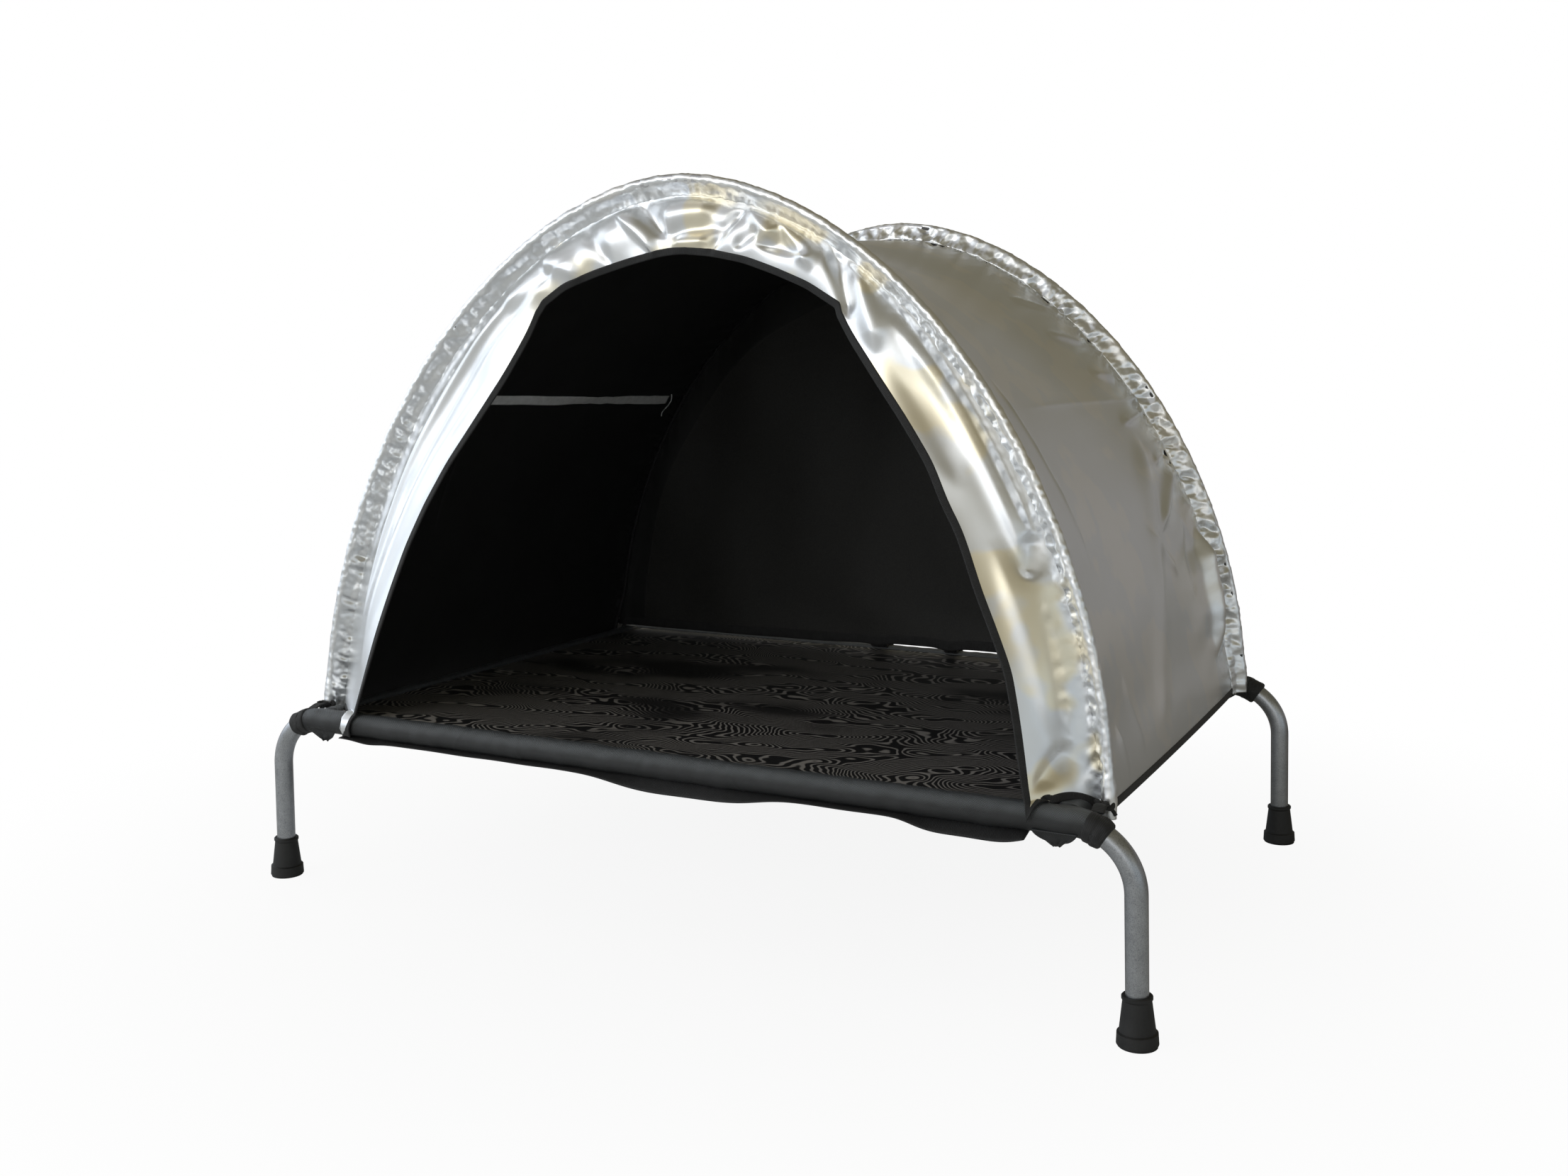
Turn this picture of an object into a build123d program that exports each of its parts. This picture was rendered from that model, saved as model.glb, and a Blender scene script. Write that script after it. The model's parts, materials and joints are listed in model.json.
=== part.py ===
from build123d import *
import os
from math import asin, cos, pi, radians, sin, tan

# Raised sling bed for a pet with a removable two-hoop tent cover.
# Millimetres. +Z up, front faces -Y, origin on the floor under the middle of the frame.

# ---- Frame ----
TUBE_R = 11.0  # 22 mm tube
TUBE_WALL = 1.5
BORE_R = TUBE_R - TUBE_WALL
FOOT_X = 540.0  # half the spacing of the feet along the front
RAIL_Y = 344.0  # half the spacing of the front and rear rails
RAIL_Z = 205.0
SIDE_RAIL_X = 466.0
BEND_R = 63.3
SPLAY = 1.8  # degrees that each leg leans out
SPIGOT_R = BORE_R - 0.1
SPIGOT_BORE_R = SPIGOT_R - TUBE_WALL
LEG_TOP_X = 402.0  # inner end of the full-size leg tube
SWAGE = 4.0  # length of the neck between leg tube and spigot
SPIGOT_END_X = 340.0
SOCKET_END_Y = RAIL_Y - 71.0
SIDE_RAIL_END_Y = RAIL_Y - TUBE_R - 2.0

# ---- Snap buttons ----
BUTTON_HOLE_R = 3.5
BUTTON_R = BUTTON_HOLE_R - 0.08
BUTTON_PROUD = 1.0  # how far a button stands out of the rail
BUTTON_FLANGE_R = 3.8
BUTTON_FLANGE_RISE = 1.2  # flange above the wall of the spigot bore
BUTTON_FLANGE_H = 1.2
RAIL_BUTTON_X = 365.0
SIDE_BUTTON_Y = RAIL_Y - 40.0
SPRING_WIDTH = 6.0
SPRING_THICKNESS = 0.7

# ---- Feet ----
FOOT_R = 19.8
FOOT_RIM_H = 13.0
FOOT_CONE_R = 17.2
FOOT_NECK_R = 13.6
FOOT_TOP_R = 14.6
FOOT_H = 49.0
FOOT_FLOOR = 6.8  # rubber under the washer
WASHER_THICKNESS = 1.5
LEG_BOTTOM = FOOT_FLOOR + WASHER_THICKNESS + 0.4

# ---- Bed sling ----
SLEEVE_BORE_R = 12.4
SLEEVE_R = 13.4
SLING_THICKNESS = 1.2
SLING_TOP = RAIL_Z + SLEEVE_R
SLEEVE_END_X = 484.0
BINDING_WIDTH = 8.0
BINDING_R = 14.3
STRAP_HALF = 430.0  # half the length of the strap under the front rail
STRAP_WIDTH = 24.0
STRAP_THICKNESS = 2.0
STRAP_DROP = 3.2  # bottom of the strap below the front sleeve

# ---- Hoops ----
ARCH_BASE_Z = 200.0
HINGE_Z = 228.0
ROD_R = 4.0
FERRULE_R = 5.0
FERRULE_HALF = 40.0
TIP_TOP = 22.0  # top of an end tip above the hinge line
ROD_START = 8.0
EYELET_R = 6.0
EYELET_BORE_R = 2.06
EYELET_HALF = 3.5
CORD_R = 2.0
CORD_LENGTH = 15.0
KNOT_R = 3.8
KNOT_LENGTH = 4.0
LOOP_WIDTH = 6.0
LOOP_R = 16.2
LOOP_BORE_R = 14.6
CHANNEL_R = 5.2
SLEEVE_HALF = 6.3
SLEEVE_OUTER = 6.2  # sleeve edge outside the rod's centreline
SEAM_INSET = 26.0  # seam inside the rod's centreline
CLOTH = 2.0

FRONT = dict(name="front", y=-300.0, lean=3.3, a=496.0, h=625.0, n=1.83)
REAR = dict(name="rear", y=325.0, lean=-0.8, a=488.0, h=615.0, n=1.84)

# Half of the doorway: half width and height above the hinge line, up to the kink and over the top.
DOOR_SIDE = [(430, -28), (402, 72), (372, 136), (340, 203), (300, 285), (245, 366), (202, 430), (188, 462)]
DOOR_TOP = [(188, 462), (125, 497), (50, 517), (0, 525)]
TAPE_WIDTH = 9.0
PANEL_BOTTOM = -8.0  # bottom of the front panel from the hinge line
HEM_TOP = 2.0  # top of the back wall's hem from the hinge line
HEM_HEIGHT = 9.5

# ---- Canopy ----
CANOPY_BASE_Z = 201.5
CANOPY_GAP = SLEEVE_HALF + 0.5
CANOPY_DROP = 20.0  # top edge of the canopy below the rod
CANOPY_FRONT = dict(a=487.0, h=FRONT["h"] - CANOPY_DROP, n=FRONT["n"])
CANOPY_MID = dict(a=494.0, h=573.0, n=1.85)
CANOPY_REAR = dict(a=485.0, h=REAR["h"] - CANOPY_DROP, n=REAR["n"])
WALL_HEM_X = 489.0
WALL_HEM_THICKNESS = 3.4
WALL_HEM_Y = (-268.0, 296.0)
WALL_HEM_Z = (192.0, 201.0)

# ---- Tape inside the left wall ----
WALL_TAPE_X = -343.5
WALL_TAPE_THICKNESS = 1.0
WALL_TAPE_Y = (-250.0, 258.0)
WALL_TAPE_Z = (576.0, 586.0)
WALL_TAPE_SLANT = 6.0  # slant of its cut end

# ---- Hook-and-loop ties on the back wall ----
TIE_PLACES = {"rear_tie_left": (-46.0, 26.0), "rear_tie_right": (69.0, 20.0)}  # left edge and width
TIE_R = SLEEVE_R + 1.6
TIE_BORE_R = SLEEVE_R + 0.2
TIE_END = (9.0, 1.4)  # length and thickness of the end on the sling


def save(part, label):
    """Label one finished piece and write it."""
    part.label = label
    export_step(part, f"parts/{label}.step")


def arch_half(a, h, n, v_start, v_base, count=13, stop=pi / 2):
    """Points on the right half of a superellipse arch, from height v_start up to its top."""
    start = asin(((v_start - v_base) / h) ** (n / 2))
    turns = [start + (stop - start) * i / (count - 1) for i in range(count)]
    return [(a * max(cos(t), 0) ** (2 / n), v_base + h * sin(t) ** (2 / n)) for t in turns]


def arch_full(a, h, n, v_start, v_base):
    """The same arch from its right foot over the top to its left foot."""
    half = arch_half(a, h, n, v_start, v_base)
    return half + [(-x, v) for x, v in reversed(half[:-1])]


def hoop_plane(hoop, behind=0.0):
    """Plane of a hoop: x across, y up along the hoop, origin on its hinge line."""
    lean = radians(hoop["lean"])
    plane = Plane(origin=(0, hoop["y"], HINGE_Z), x_dir=(1, 0, 0), z_dir=(0, -cos(lean), sin(lean)))
    return plane.offset(-behind)


def rod_arch(hoop, v_start, inset=0.0):
    """Full arch of a hoop at a distance inside its rod."""
    v_base = ARCH_BASE_Z - HINGE_Z
    return arch_full(hoop["a"] - inset, hoop["h"] - inset, hoop["n"], v_start, v_base)


# ---------------------------------------------------------------- frame

def make_rail(sy):
    """Front or rear rail: a plain tube with a button hole near each end."""
    with BuildPart() as rail:
        with BuildSketch(Plane.YZ.offset(-LEG_TOP_X + SWAGE)):
            with Locations((sy * RAIL_Y, RAIL_Z)):
                Circle(TUBE_R)
                Circle(BORE_R, mode=Mode.SUBTRACT)
        extrude(amount=2 * (LEG_TOP_X - SWAGE))
        with BuildSketch(Plane.XY.offset(RAIL_Z - TUBE_R - 1)):
            with Locations((RAIL_BUTTON_X, sy * RAIL_Y), (-RAIL_BUTTON_X, sy * RAIL_Y)):
                Circle(BUTTON_HOLE_R)
        extrude(amount=TUBE_R, mode=Mode.SUBTRACT)
    return rail.part


def make_side_rail(sx):
    """Side rail: a plain tube from front leg to rear leg with a button hole near each end."""
    with BuildPart() as rail:
        with BuildSketch(Plane.XZ.offset(-SIDE_RAIL_END_Y)):
            with Locations((sx * SIDE_RAIL_X, RAIL_Z)):
                Circle(TUBE_R)
                Circle(BORE_R, mode=Mode.SUBTRACT)
        extrude(amount=2 * SIDE_RAIL_END_Y)
        with BuildSketch(Plane.XY.offset(RAIL_Z - TUBE_R - 1)):
            with Locations((sx * SIDE_RAIL_X, SIDE_BUTTON_Y), (sx * SIDE_RAIL_X, -SIDE_BUTTON_Y)):
                Circle(BUTTON_HOLE_R)
        extrude(amount=TUBE_R, mode=Mode.SUBTRACT)
    return rail.part


def make_leg(sx, sy):
    """Bent corner leg: spigot for the rail, level stretch, bend and splayed leg."""
    splay = radians(SPLAY)
    bend_z = RAIL_Z - BEND_R
    foot_drop = (bend_z + BEND_R * sin(splay)) / cos(splay)
    bend_x = FOOT_X - BEND_R * cos(splay) - foot_drop * sin(splay)
    leg_plane = Plane.XZ.offset(-sy * RAIL_Y)
    leg_bottom = (FOOT_X - LEG_BOTTOM * tan(splay), LEG_BOTTOM)
    with BuildPart() as leg:
        with BuildLine(leg_plane) as path:
            level = Line((LEG_TOP_X, RAIL_Z), (bend_x, RAIL_Z))
            bend = JernArc(level @ 1, (1, 0), BEND_R, -(90 - SPLAY))
            Line(bend @ 1, leg_bottom)
        with BuildSketch(Plane.YZ.offset(LEG_TOP_X)):
            with Locations((sy * RAIL_Y, RAIL_Z)):
                Circle(TUBE_R)
                Circle(BORE_R, mode=Mode.SUBTRACT)
        sweep(path=path.line)
        with BuildSketch(leg_plane):
            with BuildLine():
                Polyline(
                    (LEG_TOP_X, RAIL_Z + TUBE_R),
                    (LEG_TOP_X - SWAGE, RAIL_Z + SPIGOT_R),
                    (SPIGOT_END_X, RAIL_Z + SPIGOT_R),
                    (SPIGOT_END_X, RAIL_Z + SPIGOT_BORE_R),
                    (LEG_TOP_X - SWAGE, RAIL_Z + SPIGOT_BORE_R),
                    (LEG_TOP_X, RAIL_Z + BORE_R),
                    close=True,
                )
            make_face()
        revolve(axis=Axis((0, sy * RAIL_Y, RAIL_Z), (1, 0, 0)))
        with BuildSketch(Plane.XY.offset(RAIL_Z - TUBE_R - 1)):
            with Locations((RAIL_BUTTON_X, sy * RAIL_Y)):
                Circle(BUTTON_HOLE_R)
        extrude(amount=TUBE_R, mode=Mode.SUBTRACT)
        if sx < 0:
            mirror(about=Plane.YZ, mode=Mode.REPLACE)
    return leg.part


def make_socket(sx, sy):
    """Stub welded to a leg, coped to its tube, that a side rail slides over."""
    with BuildPart() as socket:
        with BuildSketch(Plane.XZ.offset(-sy * SOCKET_END_Y)):
            with Locations((sx * SIDE_RAIL_X, RAIL_Z)):
                Circle(SPIGOT_R)
                Circle(SPIGOT_BORE_R, mode=Mode.SUBTRACT)
        extrude(amount=-sy * (RAIL_Y - SOCKET_END_Y))
        with BuildSketch(Plane.YZ.offset(sx * SIDE_RAIL_X)):
            with Locations((sy * RAIL_Y, RAIL_Z)):
                Circle(TUBE_R + 0.1)
        extrude(amount=2 * TUBE_R, both=True, mode=Mode.SUBTRACT)
        with BuildSketch(Plane.XY.offset(RAIL_Z - TUBE_R - 1)):
            with Locations((sx * SIDE_RAIL_X, sy * SIDE_BUTTON_Y)):
                Circle(BUTTON_HOLE_R)
        extrude(amount=TUBE_R, mode=Mode.SUBTRACT)
    return socket.part


def foot_axis(sx, sy):
    """Centreline of a splayed leg, from the floor up."""
    splay = radians(SPLAY)
    return Axis((sx * FOOT_X, sy * RAIL_Y, 0), (-sx * sin(splay), 0, cos(splay)))


def make_foot(sx, sy):
    """Rubber ferrule foot: wide rim, cone and lipped mouth around the tube end."""
    leg_axis = foot_axis(sx, sy)
    across = Vector(0, 1, 0).cross(leg_axis.direction)
    with BuildPart() as foot:
        with BuildSketch(Plane(leg_axis.position, x_dir=across, z_dir=(0, -1, 0))):
            with BuildLine():
                Polyline(
                    (0, 0.7),
                    (FOOT_R - 1.5, 0.7),
                    (FOOT_R, 2.2),
                    (FOOT_R - 0.6, FOOT_RIM_H),
                    (FOOT_CONE_R, FOOT_RIM_H + 1),
                    (FOOT_NECK_R, FOOT_H - 5),
                    (FOOT_TOP_R, FOOT_H - 3.5),
                    (FOOT_TOP_R, FOOT_H - 1),
                    (FOOT_TOP_R - 1, FOOT_H),
                    (TUBE_R + 0.1, FOOT_H),
                    (TUBE_R + 0.1, FOOT_FLOOR),
                    (0, FOOT_FLOOR),
                    close=True,
                )
            make_face()
        revolve(axis=leg_axis)
        # the sole is ground flat on the floor under the splayed leg
        with BuildSketch(Plane.XY):
            with Locations((sx * FOOT_X, sy * RAIL_Y)):
                Circle(FOOT_R - 1)
        extrude(amount=1.6)
    return foot.part


def make_washers():
    """Loose steel washers in the feet, one under each tube end."""
    with BuildPart() as washers:
        for sx in (-1, 1):
            for sy in (-1, 1):
                leg_axis = foot_axis(sx, sy)
                with BuildSketch(Plane(leg_axis.position, z_dir=leg_axis.direction).offset(FOOT_FLOOR + 0.4)):
                    Circle(TUBE_R - 0.5)
                extrude(amount=WASHER_THICKNESS)
    return washers.part


# ---------------------------------------------------------------- snap buttons

def button_places():
    """Name and place of each snap button."""
    places = []
    for sx, side in ((-1, "left"), (1, "right")):
        for sy, end in ((-1, "front"), (1, "rear")):
            places.append((f"{end}_{side}_rail_button", sx * RAIL_BUTTON_X, sy * RAIL_Y))
            places.append((f"{end}_{side}_side_button", sx * SIDE_RAIL_X, sy * SIDE_BUTTON_Y))
    return places


def make_button(x, y):
    """Domed button that stands down through both tube walls, with a flange inside."""
    head = RAIL_Z - TUBE_R - BUTTON_PROUD
    flange = RAIL_Z - SPIGOT_BORE_R + BUTTON_FLANGE_RISE
    with BuildPart() as button:
        with BuildSketch(Plane.XY.offset(head)):
            with Locations((x, y)):
                Circle(BUTTON_R)
        extrude(amount=flange - head)
        fillet(button.edges().filter_by(GeomType.CIRCLE).sort_by(Axis.Z)[0], 1.0)
        with BuildSketch(Plane.XY.offset(flange)):
            with Locations((x, y)):
                Circle(BUTTON_FLANGE_R)
        extrude(amount=BUTTON_FLANGE_H)
    return button.part


def make_springs():
    """Leaf springs bent to a V, one above each button, that press it outwards."""
    low = RAIL_Z - SPIGOT_BORE_R + BUTTON_FLANGE_RISE + BUTTON_FLANGE_H + 0.05
    high = RAIL_Z + SPIGOT_BORE_R - 2.2
    fold = 22.0
    mid = (low + high) / 2
    with BuildPart() as springs:
        for name, x, y in button_places():
            along_x = name.endswith("rail_button")
            inward = Vector(-x, 0, 0) if along_x else Vector(0, -y, 0)
            along = inward.normalized()
            plane = Plane(origin=(x, y, 0), x_dir=along, z_dir=Vector(0, 0, 1).cross(along) * -1)
            with BuildSketch(plane):
                with BuildLine():
                    Polyline(
                        (-3, low),
                        (3, low),
                        (fold, mid),
                        (-3, high),
                        (-3, high - SPRING_THICKNESS),
                        (fold - 3, mid),
                        (3, low + SPRING_THICKNESS),
                        (-3, low + SPRING_THICKNESS),
                        close=True,
                    )
                make_face()
            extrude(amount=SPRING_WIDTH / 2, both=True)
    return springs.part


# ---------------------------------------------------------------- bed sling

with BuildPart() as mesh_bed:
    with BuildSketch(Plane.YZ.offset(-SLEEVE_END_X)):
        with Locations((-RAIL_Y, RAIL_Z), (RAIL_Y, RAIL_Z)):
            Circle(SLEEVE_R)
    extrude(amount=2 * SLEEVE_END_X)
    with BuildSketch(Plane.XZ.offset(-RAIL_Y)):
        with Locations((-SIDE_RAIL_X, RAIL_Z), (SIDE_RAIL_X, RAIL_Z)):
            Circle(SLEEVE_R)
    extrude(amount=2 * RAIL_Y)
    with BuildSketch(Plane.XY.offset(SLING_TOP - SLING_THICKNESS)):
        Rectangle(2 * SIDE_RAIL_X, 2 * RAIL_Y)
    extrude(amount=SLING_THICKNESS)
    with BuildSketch(Plane.YZ.offset(-SLEEVE_END_X)):
        with Locations((-RAIL_Y, RAIL_Z), (RAIL_Y, RAIL_Z)):
            Circle(SLEEVE_BORE_R)
    extrude(amount=2 * SLEEVE_END_X, mode=Mode.SUBTRACT)
    with BuildSketch(Plane.XZ.offset(-RAIL_Y)):
        with Locations((-SIDE_RAIL_X, RAIL_Z), (SIDE_RAIL_X, RAIL_Z)):
            Circle(SLEEVE_BORE_R)
    extrude(amount=2 * RAIL_Y, mode=Mode.SUBTRACT)

# Tape bound round the open ends of the front and rear sleeves.
with BuildPart() as sleeve_bindings:
    for end_x in (-SLEEVE_END_X, SLEEVE_END_X - BINDING_WIDTH):
        with BuildSketch(Plane.YZ.offset(end_x)):
            with Locations((-RAIL_Y, RAIL_Z), (RAIL_Y, RAIL_Z)):
                Circle(BINDING_R)
                Circle(SLEEVE_R + 0.05, mode=Mode.SUBTRACT)
        extrude(amount=BINDING_WIDTH)
    with BuildSketch(Plane.XZ.offset(-RAIL_Y)):
        with Locations((-SIDE_RAIL_X, RAIL_Z), (SIDE_RAIL_X, RAIL_Z)):
            Circle(SLEEVE_R + 0.1)
    extrude(amount=2 * RAIL_Y, mode=Mode.SUBTRACT)

# Tape under the front rail that ties the two lower corners of the doorway.
with BuildPart() as front_strap:
    with BuildSketch(Plane.XY.offset(RAIL_Z - SLEEVE_R - STRAP_DROP)):
        with Locations((0, -RAIL_Y)):
            Rectangle(2 * STRAP_HALF, STRAP_WIDTH)
    extrude(amount=STRAP_THICKNESS)


# ---------------------------------------------------------------- hoops

def make_rod(hoop, side):
    """Half of a hoop: a round rod from its end tip to just short of the top."""
    v_base = ARCH_BASE_Z - HINGE_Z
    points = arch_half(hoop["a"], hoop["h"], hoop["n"], ROD_START, v_base, stop=pi / 2 - 0.0006)
    plane = hoop_plane(hoop)
    with BuildPart() as rod:
        with BuildLine(plane) as path:
            Spline(*[(side * x, v) for x, v in points])
        with BuildSketch(Plane(origin=path.line @ 0, z_dir=path.line % 0)):
            Circle(ROD_R)
        sweep(path=path.line)
    return rod.part


def make_ferrule(hoop):
    """Tube over the joint of the two rods at the top of a hoop."""
    v_base = ARCH_BASE_Z - HINGE_Z
    reach = (1 - (FERRULE_HALF / hoop["a"]) ** hoop["n"]) ** (1 / hoop["n"])
    points = arch_full(hoop["a"], hoop["h"], hoop["n"], v_base + hoop["h"] * reach, v_base)
    with BuildPart() as ferrule:
        with BuildLine(hoop_plane(hoop)) as path:
            Spline(*points)
        with BuildSketch(Plane(origin=path.line @ 0, z_dir=path.line % 0)):
            Circle(FERRULE_R)
            Circle(ROD_R + 0.1, mode=Mode.SUBTRACT)
        sweep(path=path.line)
    return ferrule.part


def make_tips(hoop):
    """Moulded end tips: a socket on each rod end and an eyelet on the hinge line."""
    v_base = ARCH_BASE_Z - HINGE_Z
    plane = hoop_plane(hoop)
    foot_x = arch_half(hoop["a"], hoop["h"], hoop["n"], 0, v_base)[0][0]
    share = asin(((TIP_TOP - v_base) / hoop["h"]) ** (hoop["n"] / 2))
    points = arch_half(hoop["a"], hoop["h"], hoop["n"], EYELET_R - 1.2, v_base, count=5, stop=share)
    with BuildPart() as tips:
        for side in (-1, 1):
            with BuildLine(plane) as path:
                Spline(*[(side * x, v) for x, v in points])
            with BuildSketch(Plane(origin=path.line @ 0, z_dir=path.line % 0)):
                Circle(FERRULE_R)
            sweep(path=path.line)
        for side in (-1, 1):
            with BuildLine(plane) as bore:
                Spline(*[(side * x, v) for x, v in arch_half(
                    hoop["a"], hoop["h"], hoop["n"], ROD_START - 0.3, v_base, count=6, stop=1.2 * share)])
            with BuildSketch(Plane(origin=bore.line @ 0, z_dir=bore.line % 0)):
                Circle(ROD_R + 0.06)
            sweep(path=bore.line, mode=Mode.SUBTRACT)
        for side in (-1, 1):
            with BuildSketch(Plane.YZ.offset(side * foot_x)):
                with Locations((hoop["y"], HINGE_Z)):
                    Circle(EYELET_R)
            extrude(amount=EYELET_HALF, both=True)
            with BuildSketch(Plane.YZ.offset(side * foot_x)):
                with Locations((hoop["y"], HINGE_Z)):
                    Circle(EYELET_BORE_R)
            extrude(amount=2 * EYELET_HALF, both=True, mode=Mode.SUBTRACT)
    return tips.part


def make_sleeve(hoop):
    """Cloth sleeve of a hoop: a thick band from outside the rod in to the seam."""
    start = TIP_TOP - 12
    with BuildPart() as sleeve:
        with BuildSketch(hoop_plane(hoop)):
            with BuildLine():
                outer = Spline(*rod_arch(hoop, start, -SLEEVE_OUTER))
                inner = Spline(*rod_arch(hoop, start, SEAM_INSET))
                Line(outer @ 0, inner @ 0)
                Line(outer @ 1, inner @ 1)
            make_face()
        extrude(amount=SLEEVE_HALF, both=True)
        with BuildLine(hoop_plane(hoop)) as channel:
            Spline(*rod_arch(hoop, start - 6))
        with BuildSketch(Plane(origin=channel.line @ 0, z_dir=channel.line % 0)):
            Circle(CHANNEL_R)
        sweep(path=channel.line, mode=Mode.SUBTRACT)
    return sleeve.part


def make_corner_loop(hoop, sx, sy):
    """Corner loop: band round the leg, strap to the hoop, and a knotted cord through the eyelet."""
    v_base = ARCH_BASE_Z - HINGE_Z
    foot_x = arch_half(hoop["a"], hoop["h"], hoop["n"], 0, v_base)[0][0]
    inner = foot_x - EYELET_HALF - LOOP_WIDTH - 0.5
    with BuildPart() as loop:
        with BuildSketch(Plane.YZ.offset(sx * inner)):
            with Locations((sy * RAIL_Y, RAIL_Z)):
                Circle(LOOP_R)
            with BuildLine():
                Polyline(
                    (sy * (RAIL_Y - 2), RAIL_Z + 14),
                    (sy * (RAIL_Y - 4), RAIL_Z + 16),
                    (sy * (RAIL_Y - 14), HINGE_Z - 3),
                    (hoop["y"], HINGE_Z + 3.8),
                    (hoop["y"] - sy * 4, HINGE_Z),
                    (hoop["y"], HINGE_Z - 3.8),
                    (sy * (RAIL_Y - 12), HINGE_Z - 10.5),
                    close=True,
                )
            make_face()
            with Locations((sy * RAIL_Y, RAIL_Z)):
                Circle(LOOP_BORE_R, mode=Mode.SUBTRACT)
        extrude(amount=sx * LOOP_WIDTH)
        with BuildSketch(Plane.YZ.offset(sx * (inner + 1))):
            with Locations((hoop["y"], HINGE_Z)):
                Circle(CORD_R)
        extrude(amount=sx * CORD_LENGTH)
        with BuildSketch(Plane.YZ.offset(sx * (foot_x + EYELET_HALF + 0.4))):
            with Locations((hoop["y"], HINGE_Z)):
                Circle(KNOT_R)
        extrude(amount=sx * KNOT_LENGTH)
        with BuildSketch(Plane.XZ.offset(-RAIL_Y)):
            with Locations((sx * SIDE_RAIL_X, RAIL_Z)):
                Circle(SLEEVE_R + 0.3)
        extrude(amount=2 * RAIL_Y, mode=Mode.SUBTRACT)
    return loop.part


def door_outline(extra):
    """Closed outline of the doorway in the plane of the front hoop, widened by extra."""
    right_side = [(x + extra, v) for x, v in DOOR_SIDE]
    right_top = [(DOOR_TOP[0][0] + extra, DOOR_TOP[0][1])]
    right_top += [(x + extra * x / DOOR_TOP[0][0], v + extra) for x, v in DOOR_TOP[1:]]
    left_side = [(-x, v) for x, v in reversed(right_side)]
    top = right_top + [(-x, v) for x, v in reversed(right_top[:-1])]
    return right_side, top, left_side


def draw_door(extra):
    """Draw the doorway outline as edges in the line builder that is open."""
    right_side, top, left_side = door_outline(extra)
    Spline(*right_side)
    Spline(*top)
    Spline(*left_side)
    Line(left_side[-1], right_side[0])


with BuildPart() as front_panel:
    with BuildSketch(hoop_plane(FRONT)):
        with BuildLine():
            rim = Spline(*rod_arch(FRONT, PANEL_BOTTOM, SEAM_INSET + 0.6))
            Line(rim @ 1, rim @ 0)
        make_face()
        with BuildLine():
            draw_door(TAPE_WIDTH)
        make_face(mode=Mode.SUBTRACT)
    extrude(amount=CLOTH / 2, both=True)

with BuildPart() as opening_binding:
    with BuildSketch(hoop_plane(FRONT)):
        with BuildLine():
            draw_door(TAPE_WIDTH - 0.4)
        make_face()
        with BuildLine():
            draw_door(0)
        make_face(mode=Mode.SUBTRACT)
        with Locations((0, PANEL_BOTTOM - 50)):
            Rectangle(1000, 100, mode=Mode.SUBTRACT)
    extrude(amount=CLOTH * 0.75, both=True)

with BuildPart() as back_wall:
    with BuildSketch(hoop_plane(REAR)):
        with BuildLine():
            rim = Spline(*rod_arch(REAR, HEM_TOP + 0.3, SEAM_INSET + 0.6))
            Line(rim @ 1, rim @ 0)
        make_face()
    extrude(amount=CLOTH / 2, both=True)

with BuildPart() as back_wall_hem:
    with BuildSketch(hoop_plane(REAR)):
        with Locations((0, HEM_TOP - HEM_HEIGHT / 2)):
            Rectangle(2 * (REAR["a"] - SEAM_INSET - 8), HEM_HEIGHT)
    extrude(amount=CLOTH * 0.75, both=True)


# ---------------------------------------------------------------- canopy

def canopy_section(plane, v_base, a, h, n):
    """Thin arch-shaped section of the canopy cloth."""
    with BuildSketch(plane) as section:
        with BuildLine():
            outer = Spline(*arch_full(a, h, n, v_base, v_base))
            inner = Spline(*arch_full(a - CLOTH, h - CLOTH, n, v_base, v_base))
            Line(outer @ 0, inner @ 0)
            Line(outer @ 1, inner @ 1)
        make_face()
    return section.sketch


canopy_v = CANOPY_BASE_Z - HINGE_Z
canopy_mid_plane = Plane.XZ.offset(-(FRONT["y"] + REAR["y"]) / 2)
canopy_sections = [
    canopy_section(hoop_plane(FRONT, CANOPY_GAP), canopy_v, **CANOPY_FRONT),
    canopy_section(canopy_mid_plane, CANOPY_BASE_Z, **CANOPY_MID),
    canopy_section(hoop_plane(REAR, -CANOPY_GAP), canopy_v, **CANOPY_REAR),
]
with BuildPart() as canopy:
    loft(sections=[section.face() for section in canopy_sections])

# Grey tape along the inside of the left wall, its rear end cut on a slant.
with BuildPart() as wall_tape:
    with BuildSketch(Plane.YZ.offset(WALL_TAPE_X)):
        with BuildLine():
            Polyline(
                (WALL_TAPE_Y[0], WALL_TAPE_Z[0]),
                (WALL_TAPE_Y[1], WALL_TAPE_Z[0]),
                (WALL_TAPE_Y[1] - WALL_TAPE_SLANT, WALL_TAPE_Z[1]),
                (WALL_TAPE_Y[0], WALL_TAPE_Z[1]),
                close=True,
            )
        make_face()
    extrude(amount=-WALL_TAPE_THICKNESS)


def make_side_hem(sx):
    """Tape bound along the bottom edge of a side wall."""
    with BuildPart() as hem:
        with BuildSketch(Plane.YZ.offset(sx * WALL_HEM_X)):
            with Locations((WALL_HEM_Y[0], WALL_HEM_Z[0])):
                Rectangle(WALL_HEM_Y[1] - WALL_HEM_Y[0], WALL_HEM_Z[1] - WALL_HEM_Z[0], align=Align.MIN)
        extrude(amount=sx * WALL_HEM_THICKNESS)
    return hem.part


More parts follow.
